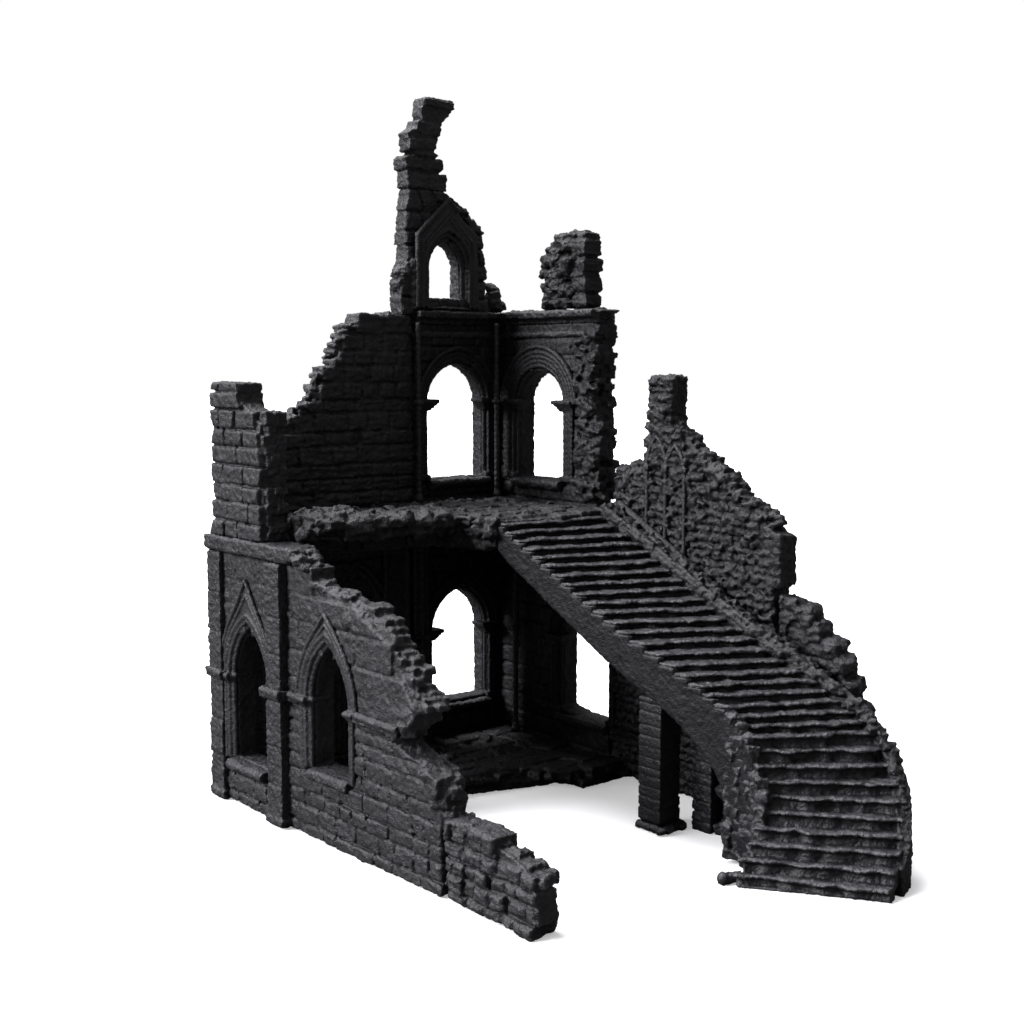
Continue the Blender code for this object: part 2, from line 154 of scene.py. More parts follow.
class Heap:
    """The closed shells, in plan millimetres, that one piece is fused from."""

    def __init__(self, seed):
        self.points = []
        self.faces = []
        self.random = random.Random(seed)

    def shell(self, points, faces):
        start = len(self.points)
        self.points.extend(tuple(point) for point in points)
        self.faces.extend(tuple(start + index for index in face) for face in faces)

    def about(self, low, high):
        return self.random.uniform(low, high)

    def sway(self, reach):
        return self.random.uniform(-reach, reach)

    def tilt(self, x, y, z):
        """A small random turn."""
        return self.sway(x), self.sway(y), self.sway(z)

    def tumble(self, x, y, z=3.0):
        """A small random turn about x and y, and a free one about z."""
        return self.sway(x), self.sway(y), self.about(0.0, z)

    def loft(self, rings, closed=False):
        """Skins rings of equally many points, with caps at both ends unless it closes on itself."""
        count = len(rings[0])
        points = [point for ring in rings for point in ring]
        faces = []
        pairs = len(rings) if closed else len(rings) - 1
        for ring in range(pairs):
            here, there = ring * count, (ring + 1) % len(rings) * count
            for k in range(count):
                after = (k + 1) % count
                faces.append((here + k, here + after, there + after, there + k))
        if not closed:
            faces.append(tuple(range(count))[::-1])
            last = (len(rings) - 1) * count
            faces.append(tuple(range(last, last + count)))
        self.shell(points, faces)

    def prism(self, outline, low, high, across="x"):
        place = axes(across)
        self.loft([[place(*point, level) for point in outline] for level in (low, high)])

    def block(self, low, high):
        corners = [(low[0], low[1]), (high[0], low[1]), (high[0], high[1]), (low[0], high[1])]
        self.prism(corners, low[2], high[2], across="z")

    def stone(self, corners, low, high, across, chamfer, rough=0.12):
        """A dressed stone: a prism of four corners with its arrises taken off."""
        place = axes(across)
        middle = [sum(corner[i] for corner in corners) / 4.0 for i in (0, 1)]
        size = min(max(abs(corner[i] - middle[i]) for corner in corners) for i in (0, 1))
        edge = min(chamfer, size * 0.7, (high - low) * 0.3)
        inner = []
        for corner in corners:
            step = [math.copysign(min(edge, abs(middle[i] - corner[i])),
                                  middle[i] - corner[i]) for i in (0, 1)]
            inner.append((corner[0] + step[0], corner[1] + step[1]))
        levels = ((inner, low), (corners, low + edge), (corners, high - edge), (inner, high))
        rings = []
        for outline, level in levels:
            rings.append([place(*point, level + self.sway(rough)) for point in outline])
        self.loft(rings)

    def brick(self, centre, size, turn=(0.0, 0.0, 0.0), chamfer=0.5, rough=0.2):
        """A loose squared stone, chamfered and turned."""
        half = Vector(size) / 2.0
        spin = Euler(turn).to_matrix()
        rings = []
        for level, inset in ((-half.z, chamfer), (chamfer - half.z, 0.0), (half.z - chamfer, 0.0),
                             (half.z, chamfer)):
            across, deep = half.x - inset, half.y - inset
            ring = []
            for x, y in ((-across, -deep), (across, -deep), (across, deep), (-across, deep)):
                jitter = [self.sway(rough) for _ in range(3)]
                point = spin @ (Vector((x, y, level)) + Vector(jitter))
                ring.append(point + Vector(centre))
            rings.append(ring)
        self.loft(rings)

    def rock(self, centre, radii, blocky=0.7, rough=0.16):
        """A rounded broken stone."""
        shape = np.sign(BALL_POINTS) * np.abs(BALL_POINTS) ** blocky
        swell = 1.0 + rough * np.array([self.sway(1.0) for _ in range(len(shape))])
        shape = shape * swell[:, None] * np.array(radii)
        turn = Euler(self.tumble(0.4, 0.4, 6.3))
        shape = shape @ np.array(turn.to_matrix()).T + np.array(centre)
        self.shell(shape.tolist(), BALL_FACES)

    def roll(self, path, radius, sides=8, bead=0.0, pitch=2.0):
        """A round moulding along a path of points, plain or strung like beads."""
        path = [Vector(point) for point in path]
        if bead:
            path = evenly(path, pitch / 4.0)
        rings = []
        run = 0.0
        for k, point in enumerate(path):
            ahead = path[min(k + 1, len(path) - 1)] - path[max(k - 1, 0)]
            ahead.normalize()
            side = ahead.orthogonal().normalized()
            if abs(ahead.x) < 0.9:
                side = (Vector((1.0, 0.0, 0.0)) - ahead * ahead.x).normalized()
            up = ahead.cross(side)
            if k:
                run += (point - path[k - 1]).length
            wide = radius * (1.0 + bead * math.cos(2.0 * math.pi * run / pitch))
            turns = [2.0 * math.pi * step / sides for step in range(sides)]
            rings.append([point + side * wide * math.cos(a) + up * wide * math.sin(a)
                          for a in turns])
        self.loft(rings)


def evenly(path, step):
    """The same path with points at equal short steps."""
    lengths = [0.0]
    for before, after in zip(path, path[1:]):
        lengths.append(lengths[-1] + (after - before).length)
    count = max(2, int(lengths[-1] / step))
    points = []
    segment = 0
    for k in range(count + 1):
        run = lengths[-1] * k / count
        while segment < len(path) - 2 and lengths[segment + 1] < run:
            segment += 1
        share = (run - lengths[segment]) / max(1e-6, lengths[segment + 1] - lengths[segment])
        points.append(path[segment].lerp(path[segment + 1], share))
    return points


def half_width(window, height, grow=0.0):
    """Half the width of a pointed opening, larger by grow, at a height, or None outside it."""
    _, half, sill, spring, apex = window
    half, apex = half + grow, apex + 1.15 * grow
    if height < sill or height >= apex:
        return None
    if height <= spring:
        return half
    rise = apex - spring
    radius = (half * half + rise * rise) / (2.0 * half)
    return math.sqrt(max(0.0, radius ** 2 - (height - spring) ** 2)) - (radius - half)


def arch_line(window, grow, foot=None, count=9):
    """Points (along, height) round a pointed opening from one foot over the apex to the other."""
    centre, half, sill, spring, apex = window
    foot = sill if foot is None else foot
    wide, top = half + grow, apex + 1.15 * grow
    rise = top - spring
    radius = (wide * wide + rise * rise) / (2.0 * wide)
    full = math.acos((radius - wide) / radius)
    side = []
    for step in range(count):
        turn = full * step / count
        side.append((radius * math.cos(turn) - (radius - wide), spring + radius * math.sin(turn)))
    right = [(centre + out, height) for out, height in side]
    left = [(centre - out, height) for out, height in reversed(side)]
    jamb = [(centre + wide, foot)] if foot < spring - 0.5 else []
    other = [(centre - wide, foot)] if foot < spring - 0.5 else []
    return jamb + right + [(centre, top)] + left + other


def ogee_line(window, grow, foot, lift):
    """A line round an opening whose head sweeps up to a sharper peak than the arch."""
    line = arch_line(window, grow, foot)
    middle = len(line) // 2
    shares = (1.0, 0.56, 0.28, 0.12, 0.04)
    raised = []
    for number, (along, height) in enumerate(line):
        away = abs(number - middle)
        share = shares[away] if away < len(shares) else 0.0
        raised.append((along, height + lift * share))
    return raised


def band(heap, outer_line, inner_line, low, high, across):
    """A flat ring between two lines of equally many points."""
    place = axes(across)
    rings = []
    for out, inn in zip(outer_line, inner_line):
        rings.append([place(*out, low), place(*out, high), place(*inn, high), place(*inn, low)])
    heap.loft(rings)


def arch_band(heap, window, inner, outer, low, high, across, foot=None):
    """A flat ring round an opening, between two sizes of it."""
    band(heap, arch_line(window, outer, foot), arch_line(window, inner, foot), low, high, across)


def arch_roll(heap, window, grow, depth, radius, across, foot=None, bead=0.0, pitch=2.0):
    """A round moulding round an opening."""
    place = axes(across)
    line = arch_line(window, grow, foot)
    heap.roll([place(*point, depth) for point in line], radius, bead=bead, pitch=pitch)


def crossings(outline, height):
    """The stretches of an outline at a height, as (start, end) pairs."""
    found = []
    for (u0, v0), (u1, v1) in zip(outline, outline[1:] + outline[:1]):
        if (v0 <= height) != (v1 <= height):
            found.append(u0 + (height - v0) / (v1 - v0) * (u1 - u0))
    found.sort()
    return list(zip(found[::2], found[1::2]))


def stretches(outline, windows, grow, height):
    """The stretches of an outline at a height that no window, larger by grow, takes away."""
    spans = crossings(outline, height)
    for window in windows:
        half = half_width(window, height, grow)
        if half is None:
            continue
        low, high = window[0] - half, window[0] + half
        cut = []
        for start, end in spans:
            if high <= start or low >= end:
                cut.append((start, end))
                continue
            if low > start:
                cut.append((start, low))
            if high < end:
                cut.append((high, end))
        spans = cut
    return [span for span in spans if span[1] - span[0] > 0.4]


def course_spans(outline, windows, grow, bottom, top, stepped):
    """The stretches of one course, each as its ends at the bottom and its ends at the top."""
    middle = stretches(outline, windows, grow, (bottom + top) / 2.0)
    lower = stretches(outline, windows, grow, bottom + 0.05)
    upper = stretches(outline, windows, grow, top - 0.05)
    if stepped or not len(lower) == len(middle) == len(upper):
        return [(span, span) for span in middle]
    return list(zip(lower, upper))


def core(heap, outline, low, high, across, windows, grow, inset):
    """The plain mass behind the face stones, in thin level slices."""
    bottom, top = min(v for _, v in outline), max(v for _, v in outline)
    count = max(2, int((top - bottom - 0.8) / 1.3))
    slice_height = (top - bottom - 0.8) / count
    for k in range(count):
        v0 = bottom + 0.4 + k * slice_height
        v1 = v0 + slice_height
        for lower, upper in course_spans(outline, windows, grow, v0, v1, False):
            if min(lower[1] - lower[0], upper[1] - upper[0]) < 1.6:
                continue
            corners = [(lower[0] + inset * 0.7, v0 - 0.05), (lower[1] - inset * 0.7, v0 - 0.05),
                       (upper[1] - inset * 0.7, v1 + 0.05), (upper[0] + inset * 0.7, v1 + 0.05)]
            heap.prism(corners, low + inset, high - inset, across)


def masonry(heap, outline, low, high, across, courses, lengths, windows=(), grow=RING - 0.6,
            proud=0.35, chamfer=0.5, joint=0.3, inset=0.9, between=None, stepped=False, ragged=0.0,
            filled=True):
    """Courses of stones through a wall, inside an outline and round its windows."""
    bottom, top = between or (min(v for _, v in outline), max(v for _, v in outline))
    if filled:
        core(heap, outline, low, high, across, windows, grow - 0.7 if windows else 0.0, inset)
    level = bottom
    while level < top - 0.3:
        ceiling = level + heap.about(*courses)
        if top - ceiling < courses[0] * 0.55:
            ceiling = top
        for ends in course_spans(outline, windows, grow, level, ceiling, stepped):
            for corners in laid(heap, ends, level, ceiling, lengths, joint, ragged):
                front = low - heap.about(-0.35, 1.0) * proud
                rear = high + heap.about(-0.35, 1.0) * proud
                heap.stone(corners, front, rear, across, chamfer * heap.about(0.7, 1.3))
        level = ceiling


def laid(heap, spans, level, ceiling, lengths, joint, ragged):
    """The corners of each stone of one course, between its ends at the bottom and at the top."""
    lower, upper = spans
    reach = max(lower[1] - lower[0], upper[1] - upper[0])
    cuts = [0.0]
    while cuts[-1] < 1.0:
        cuts.append(cuts[-1] + heap.about(*lengths) / reach)
    if len(cuts) > 2 and (1.0 - cuts[-2]) * reach < lengths[0] * 0.6:
        cuts.pop(-2)
    cuts[-1] = 1.0
    skews = [0.0] + [heap.sway(0.25) for _ in cuts[1:-1]] + [0.0]
    for k in range(len(cuts) - 1):
        ends = []
        for (start, end), sign in ((lower, 1.0), (upper, -1.0)):
            first = start + cuts[k] * (end - start) + sign * skews[k]
            last = start + cuts[k + 1] * (end - start) + sign * skews[k + 1]
            if k == 0:
                first += heap.about(-0.3, 1.0) * ragged
            if k == len(cuts) - 2:
                last -= heap.about(-0.3, 1.0) * ragged
            ends.append((first + joint / 2.0, last - joint / 2.0))
        if min(ends[0][1] - ends[0][0], ends[1][1] - ends[1][0]) < 0.5:
            continue
        sag = [heap.sway(0.12) for _ in range(4)]
        yield [(ends[0][0], level + joint / 2.0 + sag[0]),
               (ends[0][1], level + joint / 2.0 + sag[1]),
               (ends[1][1], ceiling - joint / 2.0 + sag[2]),
               (ends[1][0], ceiling - joint / 2.0 + sag[3])]


def crumble(heap, line, low, high, across, radii, flat, spread=1.0):
    """Broken stones along a ragged edge, through the thickness of the wall."""
    place = axes(across)
    for point in flat_path(line, 2.0):
        depth = low + radii[0]
        while depth < high - radii[0] * 0.6:
            size = heap.about(*radii)
            spot = place(point.x + heap.sway(spread) * 0.7,
                         point.y + heap.sway(spread) * 0.5 - size * flat * 0.4, depth)
            heap.rock(spot, (size, size * heap.about(0.7, 1.0), size * flat))
            depth += size * heap.about(1.1, 1.9)


def flakes(heap, line, low, high, across, size, thick, spacing=1.3):
    """Flat broken stones scattered along the top of a ragged edge."""
    place = axes(across)
    for point in flat_path(line, spacing):
        for _ in range(2):
            wide, tall = heap.about(*size), heap.about(*thick)
            spot = place(point.x + heap.sway(0.6), point.y + heap.about(-0.9, 0.2),
                         heap.about(low + wide * 0.4, high - wide * 0.4))
            turn = heap.tumble(0.2, 0.2, 3.1)
            heap.brick(spot, (wide, wide * heap.about(0.6, 1.0), tall), turn, 0.3, 0.3)


def layered_edge(heap, line, low, high, across, reach=2.4, thick=(0.9, 1.6), drift=1.0):
    """Thin flat stones of an exposed rubble core, lying level along a ragged edge. The line
    rises or falls steadily, and reach is how far back into the wall the stones go."""
    place = axes(across)
    path = [Vector((u, v, 0.0)) for u, v in line]
    level, top = min(line[0][1], line[-1][1]), max(v for _, v in line)
    while level < top:
        rise = heap.about(*thick)
        spot = None
        for before, after in zip(path, path[1:]):
            bottom, ceiling = sorted((before.y, after.y))
            if bottom <= level <= ceiling and ceiling - bottom > 1e-6:
                spot = before.lerp(after, (level - before.y) / (after.y - before.y))
        if spot is not None:
            depth = low + heap.about(0.2, 1.0)
            while depth < high - 0.8:
                width = heap.about(1.8, 3.6)
                size = (width, 2.0 * reach * heap.about(0.7, 1.2), rise * 1.12)
                centre = place(spot.x + heap.sway(drift), level + rise / 2.0,
                               min(depth + width / 2.0, high - width / 2.0 + 0.3))
                if across == "y":
                    size = (size[1], size[0], size[2])
                turn = heap.tilt(0.06, 0.06, 0.25)
                heap.brick(centre, size, turn, 0.28, 0.3)
                depth += width
        level += rise


def window_ring(heap, window, low, high, across):
    """The stepped reveal of an opening, moulded on the side that looks to lower values."""
    arch_band(heap, window, 0.0, RING, low + REVEAL_DEPTH, high, across)
    arch_band(heap, window, REVEAL_STEP, RING, low, low + REVEAL_DEPTH + REVEAL_LAP, across)


def sill_slab(heap, window, beyond, section, across, wear):
    """A worn sill: a section of (depth, height) points, run a little beyond both jambs."""
    place = axes(across)
    centre, half = window[:2]
    rings = []
    for k in range(9):
        along = centre + (half + beyond) * (k / 4.0 - 1.0)
        rings.append([place(along, z + heap.sway(wear), depth) for depth, z in section])
    heap.loft(rings)


# Textures that roughen the fused stone, by the size of their grain

def cloud(name, scale, depth=2, kind="CLOUDS"):
    texture = bpy.data.textures.new(name, kind)
    texture.noise_scale = scale * MM
    if kind == "CLOUDS":
        texture.noise_depth = depth
    return texture


SWELL = cloud("swell", 4.0, 2)
GRIT = cloud("grit", 0.9, 1)
KNOBS = cloud("knobs", 1.7, kind="VORONOI")
PITS = cloud("pits", 1.3, kind="STUCCI")
LAYERS = cloud("layers", 1.6, 1)

# Flattens the layered texture, so that it runs level like the print's layers
strata = bpy.data.objects.new("strata", None)
strata.scale = (3.0, 3.0, 0.62)
bpy.context.scene.collection.objects.link(strata)

# How strongly each texture moves the surface, in millimetres
FINISHES = {
    "dressed": ((SWELL, 0.4, False), (GRIT, 0.46, False), (PITS, 0.3, False)),
    "smooth": ((SWELL, 0.2, False), (GRIT, 0.26, False)),
    "rubble": ((SWELL, 0.8, False), (LAYERS, 0.6, True), (GRIT, 0.55, False)),
    "knobbly": ((KNOBS, 0.8, False), (SWELL, 0.6, False), (LAYERS, 0.5, True),
                (GRIT, 0.7, False)),
    "worn_and_highlit": ((SWELL, 0.4, False), (LAYERS, 0.35, True), (GRIT, 0.6, False)),
    "treads": ((SWELL, 0.4, False), (LAYERS, 0.35, True), (GRIT, 0.5, False)),
}


def black_plastic(name, dark, light, roughness, coarse=1.0, creases_shaded_to=0.3, gloss=0.5):
    """Matt black printed plastic: a mottled grey-black with a painted highlight on its arrises and
    painted shade in its hollows, a fine grain and faint print layers."""
    material = bpy.data.materials.new(name)
    material.use_nodes = True
    nodes, links = material.node_tree.nodes, material.node_tree.links
    shader = nodes["Principled BSDF"]
    shader.inputs["Metallic"].default_value = 0.0
    shader.inputs["Specular IOR Level"].default_value = gloss
    shader.inputs["IOR"].default_value = 1.5
    coords = nodes.new("ShaderNodeTexCoord")

    def noise(scale, detail):
        node = nodes.new("ShaderNodeTexNoise")
        node.inputs["Scale"].default_value = scale
        node.inputs["Detail"].default_value = detail
        links.new(coords.outputs["Object"], node.inputs["Vector"])
        return node.outputs["Fac"]

    def ramp(value, start, end, first, last):
        node = nodes.new("ShaderNodeValToRGB")
        low, high = node.color_ramp.elements
        low.position, high.position = start, end
        low.color, high.color = (*first, 1.0), (*last, 1.0)
        links.new(value, node.inputs["Fac"])
        return node.outputs["Color"]

    def blend(kind, factor, under, over):
        node = nodes.new("ShaderNodeMix")
        node.data_type = "RGBA"
        node.blend_type = kind
        for socket, value in (("Factor", factor), ("A", under), ("B", over)):
            if isinstance(value, bpy.types.NodeSocket):
                links.new(value, node.inputs[socket])
            else:
                node.inputs[socket].default_value = value
        return node.outputs["Result"]

    def bump(height, strength, distance, under=None):
        node = nodes.new("ShaderNodeBump")
        node.inputs["Strength"].default_value = strength
        node.inputs["Distance"].default_value = distance * MM
        links.new(height, node.inputs["Height"])
        if under:
            links.new(under, node.inputs["Normal"])
        return node.outputs["Normal"]

    mottle = ramp(noise(230.0, 4.0), 0.35, 0.68, (dark, dark * 0.98, dark * 1.12),
                  (light, light * 0.98, light * 1.12))
    edges = nodes.new("ShaderNodeNewGeometry").outputs["Pointiness"]
    # Painted shade: the mottled tone is darkened in hollows and creases, where the pointiness is low.
    painted_crease_shade = ramp(edges, 0.42, 0.50, (creases_shaded_to,) * 3, (1.0,) * 3)
    # Painted highlight: sharp arrises, where the pointiness is high, are mixed towards a pale grey
    # twice the light tone.
    worn_and_highlit = ramp(edges, 0.51, 0.60, (0.0,) * 3, (0.7,) * 3)
    # The mottled tone with that painted shade multiplied in.
    deep = blend("MULTIPLY", 1.0, mottle, painted_crease_shade)
    colour = blend("MIX", worn_and_highlit, deep, (light * 2.0, light * 1.96, light * 2.2, 1.0))
    links.new(colour, shader.inputs["Base Color"])

    grain = noise(2400.0, 3.0)
    sheen = nodes.new("ShaderNodeMapRange")
    sheen.inputs["To Min"].default_value = roughness - 0.1
    sheen.inputs["To Max"].default_value = roughness + 0.12
    links.new(grain, sheen.inputs["Value"])
    links.new(sheen.outputs["Result"], shader.inputs["Roughness"])

    layers = nodes.new("ShaderNodeTexWave")
    layers.wave_type = "BANDS"
    layers.bands_direction = "Z"
    layers.inputs["Scale"].default_value = 700.0
    layers.inputs["Distortion"].default_value = 1.5
    layers.inputs["Detail"].default_value = 2.0
    links.new(coords.outputs["Object"], layers.inputs["Vector"])
    pitted = bump(noise(1000.0, 2.0), 0.6, 0.36 * coarse)
    rough = bump(grain, 0.85, 0.3 * coarse, pitted)
    links.new(bump(layers.outputs["Fac"], 0.12, 0.05, rough), shader.inputs["Normal"])
    return material


WALL_PLASTIC = black_plastic("wall_plastic", 0.009, 0.022, 0.52)
# Floor plastic: darker tones than the walls' plastic, and deeper painted shade in its hollows and
# creases.
FLOOR_PLASTIC = black_plastic("floor_plastic", 0.005, 0.016, 0.55, creases_shaded_to=0.15, gloss=0.42)
STAIR_PLASTIC = black_plastic("stair_plastic", 0.009, 0.024, 0.46)
# Darker tones paint the shade that the stair's side plate lies in; it also has a finer grain and less
# gloss.
SHADED_PLATE_PLASTIC = black_plastic("shaded_plate_plastic", 0.004, 0.011, 0.5, coarse=0.6, gloss=0.3)
# A darker copy of the plastic that paints the shade the bay walls lie in.
SHADED_BAY_PLASTIC = black_plastic("shaded_bay_plastic", 0.005, 0.015, 0.52, gloss=0.34)
# Rubble plastic: darker tones, deeper painted shade in its hollows and creases, and less gloss.
RUBBLE_PLASTIC = black_plastic("rubble_plastic", 0.005, 0.015, 0.5, creases_shaded_to=0.12, gloss=0.36)


def make(heap, name, nodes, voxel=WALL_VOXEL, finish="dressed", material=WALL_PLASTIC):
    """Fuses a heap into one skin, roughens it, and hands it to the frame, on its nodes' body."""
    mesh = bpy.data.meshes.new(name + "_shells")
    points = [tuple(PLAN_ORIGIN[i] + point[i] * MM for i in range(3)) for point in heap.points]
    mesh.from_pydata(points, [], heap.faces)
    obj = bpy.data.objects.new(name, mesh)
    bpy.context.scene.collection.objects.link(obj)
    remesh = obj.modifiers.new("fuse", "REMESH")
    remesh.mode = "VOXEL"
    remesh.voxel_size = voxel * MM
    remesh.use_smooth_shade = True
    for number, (texture, strength, layered) in enumerate(FINISHES[finish]):
        displace = obj.modifiers.new(f"rough_{number}", "DISPLACE")
        displace.texture = texture
        displace.strength = strength * MM
        displace.mid_level = 0.5
        if layered:
            displace.texture_coords = "OBJECT"
            displace.texture_coords_object = strata
        else:
            displace.texture_coords = "LOCAL"
    thin = obj.modifiers.new("thin", "DECIMATE")
    thin.ratio = KEPT_FACES
    bpy.context.view_layer.update()
    graph = bpy.context.evaluated_depsgraph_get()
    fused = bpy.data.meshes.new_from_object(obj.evaluated_get(graph))
    fused.name = name
    for vertex in fused.vertices:
        vertex.co.z = max(vertex.co.z, PLAN_ORIGIN.z)
    obj.modifiers.clear()
    obj.data = fused
    bpy.data.meshes.remove(mesh)
    fused.materials.clear()
    fused.materials.append(material)
    body = frame["nodes"][nodes[0]]["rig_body"]
    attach(obj, body)
    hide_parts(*nodes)


# Ground storey: the long left wall

LEFT_OUTLINE = [(BACK_OUT, 0.0), (BACK_OUT, STOREY), (-42.0, STOREY), (-52.0, 62.6), (-64.3, 61.6),
                (-67.0, 59.8), (-75.5, 56.8), (-81.5, 49.8), (-91.5, 41.0), (-90.5, 37.8),
                (-84.0, 31.6), (-86.0, 28.8), (-94.5, 28.2), (-99.4, 24.0), (LEFT_END, 17.0),
                (LEFT_END, 0.0)]
STRING_LEVEL = 34.4


def left_wall():
    """Three bands of courses that grow coarser upwards, a broken slope, and a round socket."""
    heap = Heap(11)
    windows = (LEFT_REAR_WINDOW, LEFT_FRONT_WINDOW)
    core(heap, LEFT_OUTLINE, 0.0, WALL, "x", windows, RING - 1.3, 1.0)
    bands = (((0.0, 16.5), (2.2, 4.6), (4.0, 11.0), 0.3, 0.62),
             ((16.5, 33.2), (2.8, 5.2), (5.0, 13.0), 0.26, 0.6),
             ((33.2, STOREY + 0.5), (5.4, 8.0), (9.0, 16.0), 0.2, 0.5))
    for between, courses, lengths, proud, joint in bands:
        masonry(heap, LEFT_OUTLINE, 0.0, WALL, "x", courses, lengths, windows, proud=proud,
                chamfer=0.2, joint=joint, between=between, filled=False)
    for window in windows:
        window_ring(heap, window, 0.0, WALL, "x")
    flakes(heap, LEFT_OUTLINE[2:7], 0.4, WALL, "x", size=(1.8, 4.0), thick=(0.8, 1.7))
    layered_edge(heap, [(-66.0, 60.2), (-75.5, 56.8), (-81.5, 49.8), (-92.0, 40.0)], 0.6, WALL, "x",
                 reach=2.8, drift=0.75, thick=(1.0, 2.1))
    flakes(heap, LEFT_OUTLINE[10:15], 0.3, WALL, "x", size=(2.2, 4.6), thick=(1.2, 2.6))
    for y, z, size in ((-88.2, 38.6, 3.0), (-84.8, 35.4, 2.6), (-90.4, 40.2, 1.9),
                       (-96.0, 25.0, 3.4), (-92.6, 27.4, 2.6), (-97.4, 21.4, 2.6)):
        for x in (1.8, 4.9):
            heap.rock((x, y + heap.sway(0.8), z), (size, size * 0.9, size * 0.8), blocky=0.5,
                      rough=0.22)
    heap.roll([(-0.5, -63.8, 56.6), (0.6, -63.8, 56.6)], 1.9, sides=12)
    heap.roll([(-0.9, -63.8, 56.6), (0.6, -63.8, 56.6)], 0.9, sides=10)
    make(heap, "left_wall_masonry", ["left_wall"])


def left_surround(window, name, node, seed, hood, reach):
    """Stepped round orders of a left window, its impost and its pointed hood."""
    heap = Heap(seed)
    centre, half, _, spring, apex = window
    arch_roll(heap, window, 0.75, 1.0, 0.75, "x")
    arch_roll(heap, window, 1.75, 0.0, 0.55, "x")
    arch_band(heap, window, 1.6, 3.2, -0.45, 0.3, "x")
    arch_roll(heap, window, 3.1, -0.25, 0.62, "x")
    for side in (-1.0, 1.0):
        edge = centre + side * half
        heap.roll([(6.0, edge + side * 0.5, spring), (0.6, edge + side * 0.3, spring),
                   (-1.0, edge + side * 0.8, spring), (-1.0, edge + side * 4.3, spring)], 0.85)
        heap.roll([(0.2, edge + side * 0.9, spring - 1.0), (-0.5, edge + side * 1.2, spring - 1.0),
                   (-0.5, edge + side * 4.0, spring - 1.0)], 0.6)
    place = axes("x")
    foot = spring + 1.2
    lift = hood - apex - 1.15 * reach
    outer = ogee_line(window, reach, foot, lift)
    band(heap, outer, arch_line(window, 3.5, foot), -0.35, 0.3, "x")
    heap.roll([place(*point, -0.55) for point in outer], 0.6)
    inner = ogee_line(window, reach - 1.2, foot, lift * 0.62)
    heap.roll([place(*point, -0.45) for point in inner], 0.42)
    make(heap, name, [node], FINE_VOXEL, "smooth")


def left_sills():
    sills = (
        ("rear", LEFT_REAR_WINDOW, ((WALL, -2.6), (-1.4, -2.8), (-2.5, -1.9), (-2.6, -0.7),
                                    (-1.7, 0.1), (WALL, 0.3))),
        ("front", LEFT_FRONT_WINDOW, ((WALL, -2.6), (-0.5, -2.7), (-1.1, -2.0), (-1.1, -0.7),
                                      (-0.4, 0.1), (WALL, 0.3))),
    )
    for number, (where, window, profile) in enumerate(sills):
        heap = Heap(21 + number)
        sill_slab(heap, window, 0.6, [(x, window[2] + z) for x, z in profile], "x", 0.16)
        make(heap, where + "_window_sill", ["left_sill_" + where], FINE_VOXEL, "worn_and_highlit")


PILASTER_COURSES = (9.5, 13.0)
PILASTER_FLARE = 0.6


def shaft_of_stones(name, node, low, high, seed):
    """A tall pilaster of big rounded stones with a flared foot."""
    heap = Heap(seed)
    level = low[2]
    while level < high[2] - 0.5:
        ceiling = min(level + heap.about(*PILASTER_COURSES), high[2])
        if high[2] - ceiling < 5.0:
            ceiling = high[2]
        shift = heap.sway(0.12)
        foot = PILASTER_FLARE if level < 1.0 else 0.0
        corners = [(low[0] + shift - foot, low[1] - foot), (high[0], low[1] - foot),
                   (high[0], high[1] + foot * 0.6), (low[0] + shift - foot, high[1] + foot * 0.6)]
        if foot:
            heap.stone(corners, level, level + 3.2, "z", 0.9)
            corners = [(low[0], low[1]), (high[0], low[1]), (high[0], high[1]), (low[0], high[1])]
        heap.stone(corners, level, ceiling, "z", 0.42)
        inner = [(low[0] + 0.35, low[1] + 0.35), (high[0], low[1] + 0.35),
                 (high[0], high[1] - 0.35), (low[0] + 0.35, high[1] - 0.35)]
        heap.prism(inner, level + 0.2, min(ceiling + 0.4, high[2]), "z")
        level = ceiling
    make(heap, name, [node], FINE_VOXEL * 1.15, "worn_and_highlit")


def left_strings():
    """The thin rounded impost moulding that runs round the pilasters and across the wall."""
    level = STRING_LEVEL
    routes = {
        "corner": [(6.6, 0.1), (-1.7, 0.1), (-1.8, -7.4), (0.6, -7.4)],
        "buttress": [(0.4, -30.0), (-3.1, -30.1), (-3.1, -38.3), (0.4, -38.4)],
        "middle": [(-0.5, -38.9), (-0.6, -43.6)],
        "front": [(-0.5, -67.2), (-0.6, -76.0), (-0.5, -84.6)],
    }
    for number, (where, route) in enumerate(routes.items()):
        heap = Heap(30 + number)
        upper = [(x, y, level + 0.3 + heap.sway(0.1)) for x, y in route]
        heap.roll(upper, 1.05)
        heap.roll([(x, y, level - 0.8) for x, y in route], 0.75)
        if where == "front":
            for k in range(4):
                heap.rock((0.4, -77.0 - 2.0 * k, level - 0.6 - 0.35 * k), (1.7, 1.5, 1.1))
        make(heap, "impost_string_" + where, ["left_string_" + where], FINE_VOXEL, "worn_and_highlit")


def left_cornice():
    heap = Heap(41)
    ends = [0.4, -13.0, -27.5, -41.0]
    for start, end in zip(ends, ends[1:]):
        corners = [(-2.0, end + 0.05), (WALL, end + 0.05), (WALL, start - 0.05),
                   (-2.0, start - 0.05)]
        heap.stone(corners, STOREY_JOINT, CORNICE_TOP, "z", 0.45, rough=0.1)
    heap.block((-1.6, -40.6, STOREY_JOINT + 0.3), (WALL - 0.4, 0.0, CORNICE_TOP - 0.3))
    for y, z, size in ((-42.6, 69.6, 2.2), (-45.0, 68.6, 1.9), (-46.8, 67.2, 1.4)):
        heap.rock((-0.2, y, z), (size, size * 1.1, size * 0.8))
        heap.rock((3.4, y - 0.4, z - 0.2), (size * 1.1, size, size * 0.8))
    make(heap, "left_wall_cornice", ["left_cornice"], FINE_VOXEL * 1.1, "worn_and_highlit")


